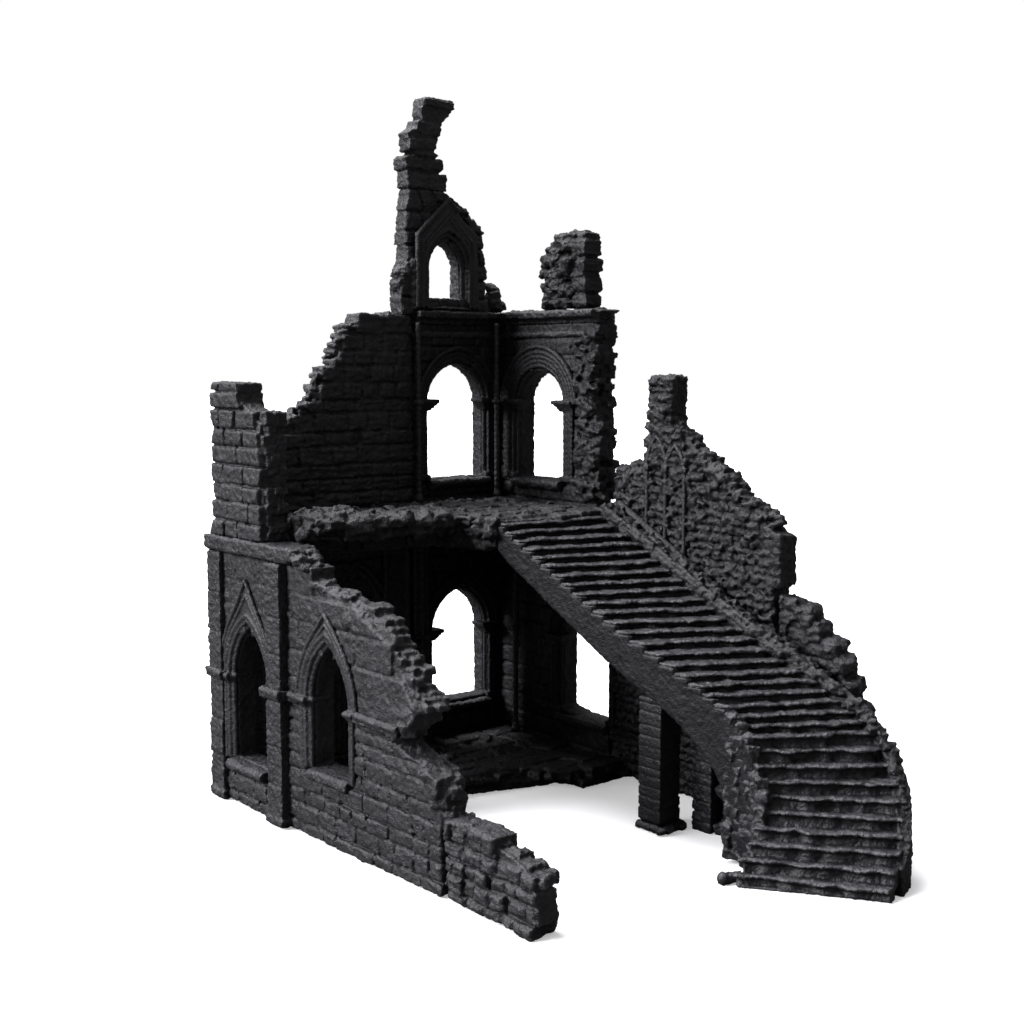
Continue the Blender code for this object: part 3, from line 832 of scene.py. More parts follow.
def left_stub():
    """The low broken wall in front, with loose stones along its top."""
    heap = Heap(43)
    outline = [(LEFT_END - 0.3, 0.0), (LEFT_END - 0.3, 15.8), (-102.2, 18.4), (-106.3, 18.8),
               (-113.0, 17.8), (-117.5, 16.2), (-124.0, 14.8), (-130.0, 12.4), (-131.0, 6.4),
               (-129.8, 0.0)][::-1]
    masonry(heap, outline, 0.0, WALL, "x", (2.9, 4.3), (3.6, 7.6), proud=1.0, chamfer=0.7,
            joint=0.5, inset=1.3, stepped=True, ragged=0.9)
    for y, z in ((-103.0, 18.0), (-107.5, 18.3), (-112.0, 17.6), (-116.0, 16.4), (-120.4, 15.2),
                 (-125.0, 14.2), (-128.6, 12.4)):
        heap.brick((heap.about(2.2, 5.0), y, z - 0.6), (4.6, 3.6, 2.6), heap.tilt(0.15, 0.15, 0.3),
                   0.6)
    make(heap, "left_stub_masonry", ["left_stub_wall"], WALL_VOXEL * 0.85, "rubble")


# Ground storey: back wall and window bay

def ground_floor():
    """Two layers of flagstones with a broken front edge."""
    heap = Heap(51)
    edge = [(7.3, BACK_Y - 0.3), (7.3, -36.0), (72.0, -48.8), (73.6, -57.4), (94.0, -62.6),
            (94.0, BACK_Y - 0.3)][::-1]
    core(heap, edge, 0.0, FLOOR_TOP, "z", (), 0.0, 0.75)
    masonry(heap, edge, 2.2, FLOOR_TOP - 0.1, "z", (6.0, 9.5), (7.0, 14.0), proud=0.45, chamfer=0.4,
            joint=0.75, filled=False, ragged=0.6)
    masonry(heap, edge, 0.0, 2.4, "z", (8.0, 12.0), (9.0, 16.0), proud=0.0, chamfer=0.5, joint=0.3,
            filled=False, ragged=1.0)
    front = [(8.0, -36.4), (26.0, -40.0), (50.0, -44.6), (71.0, -48.8), (73.4, -56.6),
             (93.0, -61.6)]
    for point in flat_path(front, 4.2):
        heap.brick((point.x, point.y + heap.about(-0.4, 1.0), heap.about(1.8, 3.6)),
                   (heap.about(3.6, 6.0), heap.about(2.6, 4.6), heap.about(1.8, 2.8)),
                   (0.0, 0.0, heap.sway(0.5)), 0.5)
    for x, y, size in scatter(heap, 42, (10.0, 92.0), (-34.0, -10.0), (0.7, 1.7)):
        heap.rock((x, y, FLOOR_TOP + size * 0.1), (size * 1.3, size, size * 0.6))
    make(heap, "ground_flagstones", ["ground_floor_slab"], WALL_VOXEL, "worn_and_highlit", FLOOR_PLASTIC)


def back_wall_ground():
    """The plain back wall, with two blind arches and a flat pier."""
    heap = Heap(53)
    outline = [(7.3, 0.0), (62.5, 0.0), (62.5, STOREY), (7.3, STOREY)]
    masonry(heap, outline, BACK_Y, BACK_OUT, "y", (4.4, 6.2), (7.0, 14.0), proud=0.35, chamfer=0.5)
    for centre, half in ((24.0, 11.0), (42.0, 9.0)):
        arch = (centre, half, 6.0, 40.0, 58.0)
        arch_roll(heap, arch, 0.0, BACK_Y - 0.2, 0.9, "y")
        arch_roll(heap, arch, 2.0, BACK_Y - 0.1, 0.7, "y")
    heap.block((50.8, BACK_Y - 1.6, 0.2), (58.6, BACK_Y + 0.6, STOREY - 0.2))
    for x in (50.8, 58.6):
        heap.roll([(x, BACK_Y - 1.3, 5.6), (x, BACK_Y - 1.3, STOREY - 0.6)], 0.8)
    make(heap, "back_wall_masonry", ["back_wall_ground"])


def back_pier():
    heap = Heap(54)
    heap.block((60.6, BACK_Y - 2.0, FLOOR_TOP + 0.3), (65.8, BACK_Y + 0.4, STOREY))
    for x, y, radius in ((61.2, -8.6, 0.8), (63.2, -9.2, 1.0), (65.2, -8.6, 0.8)):
        heap.roll([(x, y, FLOOR_TOP + 0.4), (x, y, STOREY)], radius, bead=0.12, pitch=1.9)
    heap.block((60.2, BACK_Y - 3.0, FLOOR_TOP + 0.3), (66.2, BACK_Y, FLOOR_TOP + 3.0))
    heap.roll([(60.6, -9.4, 36.4), (65.8, -9.4, 36.4)], 0.9)
    make(heap, "back_wall_pier", ["back_pier_ground"], FINE_VOXEL * 1.1, "smooth")


# The broken front end of the upper bay's right wall, along the wall and up it
ROUGH_END = (-49.4, -42.6)
ROUGH_END_HEIGHTS = (78.0, 124.0)


def bay_wall(name, node, outline, low, high, across, window, seed, rough_end=None, **laying):
    """A bay wall with its window, and, where it is given, a broken end of exposed rubble."""
    heap = Heap(seed)
    settings = dict(courses=(4.2, 5.6), lengths=(6.0, 11.0), proud=0.32, chamfer=0.35, joint=0.5)
    settings.update(laying)
    masonry(heap, outline, low, high, across, windows=(window,), **settings)
    window_ring(heap, window, low, high, across)
    if rough_end:
        layered_edge(heap, rough_end, low - 0.4, high + 0.3, across, reach=2.2, thick=(1.3, 2.3))
        for depth, y, z in scatter(heap, 110, (low - 0.5, low + 0.5), ROUGH_END, ROUGH_END_HEIGHTS):
            heap.brick((depth, y, z), (2.2, heap.about(1.6, 4.4), heap.about(0.8, 2.0)),
                       heap.tilt(0.4, 0.2, 0.3), 0.3, 0.3)
    make(heap, name, [node], material=SHADED_BAY_PLASTIC)


def bay_surround(name, node, window, face, across, seed, orders, impost):
    """Nested round orders, imposts with flared capitals, and a raised hood on the wall's moulded
    face, which looks to lower values."""
    heap = Heap(seed)
    centre, half, sill, spring, _ = window
    place = axes(across)
    arch_roll(heap, window, 0.7, face + 1.1, 0.72, across)
    grow = 1.6
    for number in range(orders):
        bead = 0.14 if number % 2 else 0.0
        arch_roll(heap, window, grow, face - 0.12 * (number + 1), 0.55, across, bead=bead,
                  pitch=1.5)
        grow += 1.15
    arch_roll(heap, window, grow + 0.3, face - 0.6, 0.75, across, foot=spring)
    arch_band(heap, window, grow - 0.4, grow + 0.5, face - 0.3, face + 0.3, across, foot=spring)
    for side in (-1.0, 1.0):
        edge = centre + side * half
        for top, thick, reach in ((spring + 1.1, 1.1, 2.5), (spring + 0.1, 0.8, 1.7),
                                  (spring - 0.6, 0.8, 1.0), (spring - 1.3, 0.8, 0.4)):
            within, beyond = edge - side * reach, edge + side * impost
            near, far = face - 0.5 - 0.6 * reach, face + 3.4
            corners = [(within, far), (within, near), (beyond, near), (beyond, far)]
            outline = [place(along, 0.0, depth)[:2] for along, depth in corners]
            heap.prism(outline, top - thick, top, "z")
        for number in range(2):
            along = edge + side * (0.9 + 1.7 * number)
            heap.roll([place(along, sill, face - 0.1), place(along, sill + 1.6, face - 0.1)], 1.1)
    make(heap, name, [node], FINE_VOXEL, "smooth", SHADED_BAY_PLASTIC)


def bay_sill(name, node, window, face, outer, across, seed):
    """A projecting sill with a sloped top and a worn lip."""
    heap = Heap(seed)
    top = window[2]
    section = [(outer, top - SILL_DEPTH), (face - 1.4, top - SILL_DEPTH), (face - 2.2, top - 1.5),
               (face - 2.4, top - 0.5), (face - 1.9, top + 0.1), (outer, top + 0.2)]
    sill_slab(heap, window, 0.8, section, across, 0.14)
    make(heap, name, [node], FINE_VOXEL, "worn_and_highlit")


def bay_trim(storey, back_window, right_window, seed, right_orders, right_impost):
    """The mouldings and then the sills of a storey's two bay windows."""
    sides = (("back", back_window, BACK_Y, BACK_OUT, "y", 2, IMPOST),
             ("right", right_window, BAY_X, BAY_RIGHT, "x", right_orders, right_impost))
    for number, (side, window, face, _, across, orders, impost) in enumerate(sides):
        bay_surround(f"{storey}_{side}_mouldings", f"bay_surround_{storey}_{side}", window, face,
                     across, seed + number, orders, impost)
    for number, (side, window, face, outer, across, _, _) in enumerate(sides):
        bay_sill(f"{storey}_{side}_sill", f"bay_sill_{storey}_{side}", window, face, outer, across,
                 seed + 2 + number)


def wall_shaft(name, node, place, foot, top, capital, seed):
    """A slender beaded shaft with a moulded base and a flared capital."""
    heap = Heap(seed)
    x, y = place
    heap.roll([(x, y, foot), (x, y, top)], 0.8, bead=0.09, pitch=1.7)
    for low, high, wide in ((foot, foot + 1.2, 1.35), (foot + 1.2, foot + 2.0, 1.1),
                            (capital - 1.6, capital - 1.0, 1.0), (capital, capital + 1.0, 1.5)):
        heap.roll([(x, y, low), (x, y, (low + high) / 2.0), (x, y, high)], wide, sides=10)
    make(heap, name, [node], FINE_VOXEL, "smooth")


def rect(start, end, bottom, top):
    """An upright oblong outline."""
    return [(start, bottom), (end, bottom), (end, top), (start, top)]


def ground_bay():
    bay_wall("ground_bay_back", "bay_wall_ground_back", rect(BAY_LEFT, BAY_RIGHT, 0.0, STOREY),
             BACK_Y, BACK_OUT, "y", GROUND_BACK_WINDOW, 61)
    bay_wall("ground_bay_right", "bay_wall_ground_right", rect(BAY_END, BACK_Y - 0.3, 0.0, STOREY),
             BAY_X, BAY_RIGHT, "x", GROUND_RIGHT_WINDOW, 62)
    bay_trim("ground", GROUND_BACK_WINDOW, GROUND_RIGHT_WINDOW, 63, 2, IMPOST)
    wall_shaft("ground_bay_shaft", "bay_shaft_ground", (91.9, -18.0), FLOOR_TOP + 0.3, STOREY, 36.4,
               67)


# Ground storey: the rough wall beside the stairs

STAIR_WALL_OUTLINE = [(-56.3, 0.0), (-56.3, 86.4), (-62.0, 88.6), (-67.6, 87.6), (-69.6, 98.0),
                      (-68.8, 110.6), (-70.6, 113.0), (-78.5, 112.3), (-78.6, 106.4),
                      (-77.6, 100.0), (-82.3, 95.8), (-86.6, 92.0), (-94.6, 88.5), (-103.1, 81.3),
                      (-110.6, 76.8), (-113.9, 72.0), (-114.2, 0.0)]


def stair_wall_high():
    """Courses towards the outside, small rubble towards the stairs, and a standing stack."""
    heap = Heap(71)
    outline = STAIR_WALL_OUTLINE[::-1]
    lancets = ((-73.6, 2.5, 67.0, 89.0, 95.6), (-80.4, 2.5, 67.0, 87.0, 93.4))
    middle = BAY_X + 2.2
    masonry(heap, outline, middle - 0.4, BAY_RIGHT, "x", (2.4, 3.8), (3.2, 7.0), proud=0.45,
            chamfer=0.6, joint=0.35, inset=0.8, stepped=True, ragged=1.0)
    masonry(heap, outline, BAY_X, middle + 0.6, "x", (1.6, 3.2), (2.0, 5.0), proud=0.6, chamfer=0.5,
            joint=0.6, inset=0.55, stepped=True, ragged=1.0)
    for _ in range(620):
        height = heap.about(30.0, 104.0)
        start, end = crossings(outline, height + 2.0)[0]
        if end - start < 8.0:
            continue
        along = heap.about(start + 2.2, end - 2.2)
        if 58.0 < height < 76.0 and along < -107.5:
            continue
        wide, tall = heap.about(1.0, 3.0), heap.about(0.7, 1.8)
        heap.brick((BAY_X + heap.about(0.1, 0.9), along, height), (2.0, wide, tall),
                   heap.tilt(0.7, 0.2, 0.3), 0.25, 0.3)
    skyline = STAIR_WALL_OUTLINE[1:5]
    flakes(heap, skyline, BAY_X, BAY_RIGHT, "x", size=(1.8, 4.2), thick=(1.0, 2.2))
    slope = STAIR_WALL_OUTLINE[9:15]
    flakes(heap, slope, BAY_X, BAY_RIGHT, "x", size=(2.4, 5.4), thick=(1.0, 2.2))
    level = 97.0
    while level < 112.6:
        width = heap.about(3.6, 5.0)
        centre = -73.6 + heap.sway(0.9)
        heap.brick((97.7, centre, level), (heap.about(5.6, 7.2), 2.0 * width, 2.3),
                   (0.0, 0.0, heap.sway(0.12)), 0.6, 0.3)
        level += heap.about(1.7, 2.3)
    heap.rock((BAY_X + 0.6, -77.8, 75.0), (1.6, 1.7, 2.0))
    heap.stone([(-115.6, 60.6), (-108.6, 59.0), (-109.2, 76.0), (-115.2, 73.4)], BAY_X, BAY_RIGHT,
               "x", 0.6)
    make(heap, "stair_wall_rubble", ["stair_wall_high"], WALL_VOXEL, "knobbly", RUBBLE_PLASTIC)
    heap = Heap(72)
    for y in (-70.2, -77.0, -83.8):
        heap.roll([(BAY_X - 0.5, y, 62.0), (BAY_X - 0.5, y, 89.0)], 0.6)
        heap.block((BAY_X - 1.3, y - 0.9, 87.6), (BAY_X + 1.0, y + 0.9, 88.8))
    for window in lancets:
        arch_roll(heap, window, 0.9, BAY_X - 0.5, 0.6, "x", foot=88.0)
    make(heap, "stair_wall_lancets", ["stair_wall_high"], FINE_VOXEL, "smooth")


def stair_wall_low():
    """The low end of the stair wall, with a shallow niche."""
    heap = Heap(73)
    outline = [(-114.5, 0.0), (-114.5, 60.4), (-116.4, 58.3), (-124.2, 55.5), (-127.0, 51.2),
               (-134.0, 45.4), (-136.0, 39.4), (-141.1, 28.5), (-143.6, 25.5), (-143.0, 0.0)][::-1]
    niche = (-120.6, 2.8, 42.0, 49.6, 53.2)
    masonry(heap, outline, BAY_X + 1.4, BAY_RIGHT, "x", (3.0, 4.4), (4.0, 8.0), proud=0.5,
            chamfer=0.6, joint=0.35, stepped=True, ragged=1.0)
    masonry(heap, outline, BAY_X, BAY_X + 2.2, "x", (2.6, 4.0), (3.0, 6.0), windows=(niche,),
            grow=0.6, proud=0.5, chamfer=0.6, joint=0.35, inset=0.55, stepped=True, ragged=0.6)
    panel = [(-126.0, 40.0), (-115.2, 40.0), (-115.2, 56.6), (-124.4, 53.8)]
    heap.stone(panel, BAY_X + 0.9, BAY_X + 2.4, "x", 0.4)
    arch_roll(heap, niche, 0.6, BAY_X + 0.3, 0.5, "x")
    for y, z, size in ((-118.0, 57.4, 2.2), (-122.4, 55.8, 2.8), (-126.0, 52.0, 2.9),
                       (-130.0, 48.4, 3.2), (-133.4, 44.6, 3.0), (-135.6, 39.6, 2.8),
                       (-138.6, 33.6, 3.0), (-140.8, 28.4, 2.6), (-142.4, 24.0, 2.4)):
        heap.rock((96.6, y, z - 1.0), (2.6, size, size * 0.75))
        heap.rock((99.4, y + 0.5, z - 0.8), (2.2, size * 0.9, size * 0.8))
    make(heap, "stair_wall_low_rubble", ["stair_wall_low"], WALL_VOXEL, "rubble", RUBBLE_PLASTIC)


# The moulding above the stair curb, from its top end to its foot, along the wall and up it
STRING_START = (-60.4, 76.0)
STRING_END = (-142.6, 31.8)
STRING_SLOPE = 0.5377


def stair_wall_string():
    """The broken moulding on the wall above the stair curb, and the rail along its upper part."""
    heap = Heap(75)
    slope = math.atan2(STRING_END[1] - STRING_START[1], STRING_END[0] - STRING_START[0])
    for point in evenly([Vector((BAY_X - 0.6, *end)) for end in (STRING_START, STRING_END)], 3.4):
        if heap.random.random() < 0.12:
            continue
        heap.brick((point.x + heap.about(-0.2, 0.4), point.y, point.z + heap.sway(0.4)),
                   (1.9, heap.about(3.0, 4.6), heap.about(1.5, 2.3)),
                   (slope + heap.sway(0.15) - math.pi, 0.0, 0.0), 0.35)
    heap.roll([(BAY_X - 0.2, -60.4, 75.8), (BAY_X - 0.2, -142.6, 31.6)], 0.8)
    for along, width in ((-62.0, 3.2), (-68.4, 2.6), (-72.4, 3.0), (-79.0, 2.4), (-84.6, 3.4)):
        height = 77.0 + (along - STRING_START[0]) * STRING_SLOPE
        heap.rock((BAY_X - 1.4, along, height), (1.2, width * 0.6, 1.1))
    make(heap, "stair_wall_moulding", ["stair_wall_string"], FINE_VOXEL, "rubble", RUBBLE_PLASTIC)
    heap = Heap(76)
    for lift, out, radius in ((1.6, 1.1, 1.15), (-0.5, 0.9, 0.7)):
        start = (BAY_X - out, -60.2, 76.0 + lift)
        bend = (BAY_X - out - 0.2, -74.0, 68.6 + lift)
        stop = (BAY_X - out, -85.4, 62.4 + lift * 0.9)
        heap.roll([start, bend, stop], radius)
    heap.brick((BAY_X - 1.0, -85.6, 63.0), (3.0, 2.6, 2.8), (0.4, 0.1, 0.2), 0.4, 0.3)
    make(heap, "stair_wall_rail", ["stair_wall_string"], FINE_VOXEL, "smooth", RUBBLE_PLASTIC)


# Upper storey

FLOOR_EDGE = [(7.3, -36.5), (16.0, -40.0), (26.0, -43.4), (34.0, -41.4), (41.0, -43.2),
              (48.0, -40.0), (53.6, -46.0), (53.2, -54.0), (87.7, -58.8), (94.0, -59.6)]


def first_floor():
    """A thick floor whose underside is set back, with blocks hanging along its broken edge."""
    heap = Heap(81)
    outline = ([(7.3, BACK_Y - 0.3)] + FLOOR_EDGE + [(94.0, BACK_Y - 0.3)])[::-1]
    setback = [(7.3, BACK_Y - 0.3), (7.3, -29.0), (16.0, -32.0), (26.0, -35.4), (34.0, -33.8),
               (41.0, -35.4), (47.0, -33.4), (52.4, -45.0), (53.0, -54.0), (87.7, -58.8),
               (94.0, -59.6), (94.0, BACK_Y - 0.3)][::-1]
    core(heap, outline, 70.6, UPPER_FLOOR, "z", (), 0.0, 1.1)
    core(heap, setback, STOREY_JOINT, 72.4, "z", (), 0.0, 0.9)
    masonry(heap, outline, 72.2, UPPER_FLOOR - 0.1, "z", (4.6, 7.4), (5.0, 11.0), proud=0.5,
            chamfer=0.4, joint=0.75, filled=False, ragged=0.8)
    masonry(heap, setback, STOREY_JOINT - 0.1, 72.4, "z", (6.0, 9.0), (6.0, 11.0), proud=0.25,
            chamfer=0.5, joint=0.4, filled=False, ragged=0.6)
    for point in flat_path(FLOOR_EDGE[:8], 4.3):
        for level, out in ((74.6, 0.0), (72.2, 0.5)):
            size = (heap.about(2.8, 4.8), heap.about(2.6, 4.2), heap.about(2.2, 3.4))
            turn = heap.tilt(0.3, 0.25, 0.7)
            heap.brick((point.x + heap.sway(0.8), point.y + out + heap.about(-0.2, 1.4),
                        level + heap.sway(0.7)), size, turn, 0.7, 0.5)
    for x, y, size in scatter(heap, 64, (9.0, 52.0), (-40.0, -26.0), (1.6, 4.0)):
        heap.brick((x, y, UPPER_FLOOR + size * 0.1), (size * 1.3, size, size * 0.7),
                   heap.tumble(0.3, 0.3), 0.45, 0.4)
    for x, y, size in scatter(heap, 26, (8.5, 20.0), (-38.0, -27.0), (2.2, 4.4)):
        heap.brick((x, y, UPPER_FLOOR + heap.about(0.4, 2.0)), (size * 1.2, size, size * 0.8),
                   heap.tumble(0.4, 0.4), 0.6, 0.5)
    for x, y, size in ((20.0, -41.0, 6.4), (24.6, -42.4, 5.2), (33.0, -41.0, 5.6),
                       (40.0, -42.0, 5.0), (12.6, -38.4, 5.4), (46.4, -40.6, 4.6)):
        heap.brick((x, y, UPPER_FLOOR - 0.4), (size, size * 0.8, size * 0.72),
                   heap.tumble(0.4, 0.4), 0.9, 0.6)
    for x, y in scatter(heap, 60, (20.0, 90.0), (-52.0, -9.0)):
        if y < -40.0 and x < 56.0:
            continue
        size = heap.about(0.5, 1.2)
        heap.rock((x, y, UPPER_FLOOR), (size * 1.3, size, size * 0.6), blocky=0.5)
    make(heap, "upper_flagstones", ["first_floor_slab"], WALL_VOXEL, "worn_and_highlit", FLOOR_PLASTIC)


def upper_left_wall():
    heap = Heap(83)
    outline = [(-1.4, UPPER_BASE - 0.5), (-2.8, 110.6), (-10.0, 111.0), (-17.4, 111.6),
               (-17.6, 106.3), (-22.0, 104.0), (-26.6, 101.0), (-27.8, 90.0),
               (-27.4, UPPER_BASE - 0.5)]
    masonry(heap, outline, -0.8, WALL, "x", (3.8, 5.2), (6.0, 13.0), proud=0.5, chamfer=0.3,
            joint=0.65, inset=1.1, stepped=True, ragged=1.3)
    layered_edge(heap, [(-26.6, UPPER_BASE), (-26.2, 101.0)], 0.5, WALL - 0.2, "x", reach=1.4,
                 thick=(1.6, 3.4), drift=0.6)
    make(heap, "upper_left_masonry", ["upper_left_wall"], WALL_VOXEL * 0.9, "dressed")


def upper_back_wall():
    """The wall whose skyline climbs in steps to the spire."""
    heap = Heap(85)
    outline = [(7.3, STOREY_JOINT), (7.3, 98.6), (21.6, 99.8), (25.0, 103.6), (28.8, 106.6),
               (31.2, 113.2), (35.4, 114.4), (37.4, 121.6), (40.6, 126.8), (48.4, 129.0),
               (56.4, 130.2), (57.2, 129.6), (62.5, 129.6), (62.5, STOREY_JOINT)]
    masonry(heap, outline, BACK_Y, BACK_OUT, "y", (3.6, 5.4), (5.5, 12.0), proud=0.55, chamfer=0.4,
            joint=0.5, inset=0.9, stepped=True, ragged=0.9)
    flakes(heap, outline[1:11], BACK_Y, BACK_OUT, "y", size=(1.8, 3.8), thick=(1.0, 2.0),
           spacing=1.7)
    make(heap, "upper_back_masonry", ["upper_back_wall"], WALL_VOXEL * 0.95, "rubble")


def upper_bay():
    top = LEDGE_BOTTOM + 0.3
    bay_wall("upper_bay_back", "bay_wall_upper_back", rect(BAY_LEFT, BAY_RIGHT, STOREY_JOINT, top),
             BACK_Y, BACK_OUT, "y", UPPER_BACK_WINDOW, 91)
    side = [(BACK_Y - 0.3, STOREY_JOINT), (BACK_Y - 0.3, top), (-49.4, top), (-48.2, 114.0),
            (-47.2, 107.0), (-49.4, 96.0), (-48.6, 88.0), (-50.0, 78.0), (-50.2, STOREY_JOINT)]
    rough_end = [(-48.6, top - 1.0), (-47.6, 114.0), (-46.6, 107.0), (-48.8, 96.0), (-48.2, 88.0),
                 (-49.4, 78.0)]
    bay_wall("upper_bay_right", "bay_wall_upper_right", side[::-1], BAY_X, BAY_RIGHT, "x",
             UPPER_RIGHT_WINDOW, 92, rough_end, stepped=True, ragged=0.8)
    bay_trim("upper", UPPER_BACK_WINDOW, UPPER_RIGHT_WINDOW, 93, 4, 5.4)
    wall_shaft("upper_left_shaft", "bay_shaft_upper_left", (62.4, -9.3), UPPER_FLOOR + 0.3, top,
               104.4, 97)
    wall_shaft("upper_corner_shaft", "bay_shaft_upper_corner", (90.2, -11.2), UPPER_FLOOR + 0.3,
               top, 104.4, 98)


def bay_ledge():
    """The crown moulding round the top of the bay, broken to a point at its front end."""
    heap = Heap(101)
    section = [(LEDGE_BOTTOM, -0.6), (LEDGE_BOTTOM, 0.6), (128.4, 0.8), (129.0, 1.4), (129.3, 2.9),
               (130.7, 3.2), (LEDGE_TOP, 2.7), (LEDGE_TOP, -0.6)]
    for face, start, end, across in ((BACK_Y, BAY_LEFT, BAY_X, "y"), (BAY_X, -50.6, BACK_Y, "x")):
        place = axes(across)
        rings = []
        count = 14
        for k in range(count + 1):
            along = start + (end - start) * k / count
            wear = heap.about(-0.15, 0.1)
            rings.append([place(along, z, face - out - (wear if out > 1.5 else 0.0))
                          for z, out in section])
        heap.loft(rings)
    heap.block((BAY_LEFT, BACK_Y - 0.4, LEDGE_BOTTOM), (BAY_RIGHT + 1.2, 0.2, LEDGE_TOP))
    heap.block((BAY_X - 0.4, -49.4, LEDGE_BOTTOM), (BAY_RIGHT + 0.6, BACK_Y, LEDGE_TOP - 0.1))
    lower = 124.6
    heap.roll([(BAY_LEFT, BACK_Y - 0.1, lower), (BAY_X + 0.1, BACK_Y - 0.1, lower),
               (BAY_X + 0.1, -46.0, lower)], 1.05)
    tip = [(-48.4, 129.2), (-53.4, 130.9), (-48.4, LEDGE_TOP)]
    heap.prism(tip, BAY_X - 1.0, BAY_RIGHT - 1.0, "x")
    places = scatter(heap, 22, (95.0, 101.5), (-50.0, -10.0), (0.8, 1.8), (0.8, 1.8), (0.3, 0.8))
    for x, y, *radii in places:
        heap.rock((x, y, LEDGE_TOP), radii)
    make(heap, "bay_crown_moulding", ["bay_ledge"], FINE_VOXEL, "worn_and_highlit")


def ledge_stack():
    """The standing stack of rubble, with squared blocks on its front corner."""
    heap = Heap(103)
    lift = SPIRE_BASE
    outline = [(-25.0, 0.0), (-24.6, 6.4), (-27.4, 10.6), (-27.2, 17.0), (-31.1, 19.2),
               (-36.8, 21.2), (-44.6, 21.8), (-45.5, 16.8), (-44.2, 14.8), (-45.6, 9.6),
               (-44.6, 0.0)]
    outline = [(along, lift + height) for along, height in outline][::-1]
    masonry(heap, outline, BAY_X, BAY_RIGHT - 0.6, "x", (3.2, 4.4), (4.5, 9.0), proud=0.9,
            chamfer=0.6, joint=0.85, inset=1.5, stepped=True, ragged=1.2)
    crumble(heap, [(-26.6, 142.0), (-28.0, 148.4), (-33.0, 151.4), (-40.0, 152.6)], BAY_X,
            BAY_RIGHT, "x", (1.2, 2.2), 0.6)
    for size, along, height in scatter(heap, 46, (0.9, 2.3), (-39.0, -27.6), (133.0, 151.0)):
        if height > 144.0 and along > -31.0:
            continue
        heap.rock((BAY_X + heap.about(-0.2, 0.9), along, height), (size, size * 1.2, size * 0.8),
                  blocky=0.6, rough=0.2)
    for z, tall in ((133.6, 4.0), (138.2, 4.4), (143.6, 4.0), (148.6, 5.0)):
        heap.brick((97.2, -42.6 + heap.sway(0.4), z), (6.8, 5.6, tall), (0.0, 0.0, heap.sway(0.08)),
                   0.7)
    make(heap, "ledge_rubble_courses", ["ledge_rubble_stack"], WALL_VOXEL * 0.8, "rubble",
         RUBBLE_PLASTIC)


def ledge_stub():
    heap = Heap(104)
    for x, z, size in ((94.6, 133.4, 3.2), (94.2, 136.2, 2.6), (93.8, 138.6, 1.9)):
        heap.rock((x, -4.6, z), (size, 2.6, size * 0.62))
    heap.rock((97.0, -4.4, 133.0), (1.6, 2.2, 1.6))
    make(heap, "ledge_rubble_stones", ["ledge_rubble_stub"], FINE_VOXEL, "rubble")


# Spire

def spire_wall():
    heap = Heap(111)
    body = [(57.6, 129.9), (57.8, 140.1), (59.6, 144.4), (59.6, 152.7), (60.2, 160.1),
            (60.8, 166.0), (74.8, 166.0), (77.4, 162.9), (82.8, 161.0), (85.0, 157.6),
            (88.2, 155.2), (90.0, 146.0), (90.8, SPIRE_BASE - 0.5), (BAY_LEFT, SPIRE_BASE - 0.5),
            (BAY_LEFT, 129.7)]
    masonry(heap, body[::-1], BACK_Y, BACK_OUT, "y", (4.2, 5.8), (5.0, 9.0),
            windows=(SPIRE_WINDOW,), proud=0.6, chamfer=0.5, joint=0.6, ragged=0.7)
    window_ring(heap, SPIRE_WINDOW, BACK_Y, BACK_OUT, "y")
    heap.roll([(62.6, -7.2, SPIRE_BASE), (62.6, -7.2, 146.0)], 1.3, bead=0.12, pitch=2.2)
    for x, z, size in ((60.4, 141.6, 2.6), (61.6, 144.2, 2.0), (59.6, 138.8, 2.2)):
        heap.rock((x, -4.8, z), (size, 3.0, size * 0.8))
    crumble(heap, [(76.6, 163.0), (82.0, 160.8), (85.4, 157.4), (88.0, 154.8)], BACK_Y, BACK_OUT,
            "y", (1.0, 1.9), 0.7, spread=0.6)
    make(heap, "spire_masonry", ["spire_wall"], WALL_VOXEL * 0.85, "worn_and_highlit")


def spire_mouldings():
    """Round orders of the small window, its colonnettes and a straight-sided gable hood."""
    heap = Heap(112)
    centre, half, sill, spring, apex = SPIRE_WINDOW
    face = BACK_Y
    arch_roll(heap, SPIRE_WINDOW, 0.7, face + 1.0, 0.7, "y")
    arch_roll(heap, SPIRE_WINDOW, 1.8, face - 0.1, 0.62, "y", bead=0.1, pitch=1.5)
    arch_roll(heap, SPIRE_WINDOW, 2.9, face - 1.0, 0.6, "y")
    wide = half + 5.6
    shoulder = spring + 9.4
    peak = apex + 12.0
    place = axes("y")
    foot = sill - 0.5
    line = arch_line(SPIRE_WINDOW, 3.0, foot, count=8)
    apex_index = len(line) // 2
    right = [(centre + wide, foot), (centre + wide - 0.6, shoulder + 1.0),
             (centre + 4.6, shoulder + 5.4), (centre + 3.4, shoulder + 7.8), (centre, peak)]
    left = [(centre, peak), (centre - wide, shoulder), (centre - wide, foot)]
    heap.prism(right + line[apex_index::-1], face - 1.3, face + 0.3, "y")
    heap.prism(left + line[:apex_index - 1:-1], face - 1.3, face + 0.3, "y")
    hood = [(centre + 3.6, shoulder + 7.6), (centre, peak), (centre - wide, shoulder),
            (centre - wide, foot)]
    heap.roll([place(*point, face - 1.4) for point in hood], 0.85)
    for share, radius in ((0.82, 0.42), (0.68, 0.36)):
        inner = [(centre + wide * share, foot), (centre + wide * share, shoulder - 2.0),
                 (centre, peak - 12.0 * (1.0 - share) - 1.4),
                 (centre - wide * share, shoulder - 2.0), (centre - wide * share, foot)]
        heap.roll([place(*point, face - 1.35) for point in inner], radius)
    make(heap, "spire_hood_mouldings", ["spire_surround"], FINE_VOXEL, "smooth")


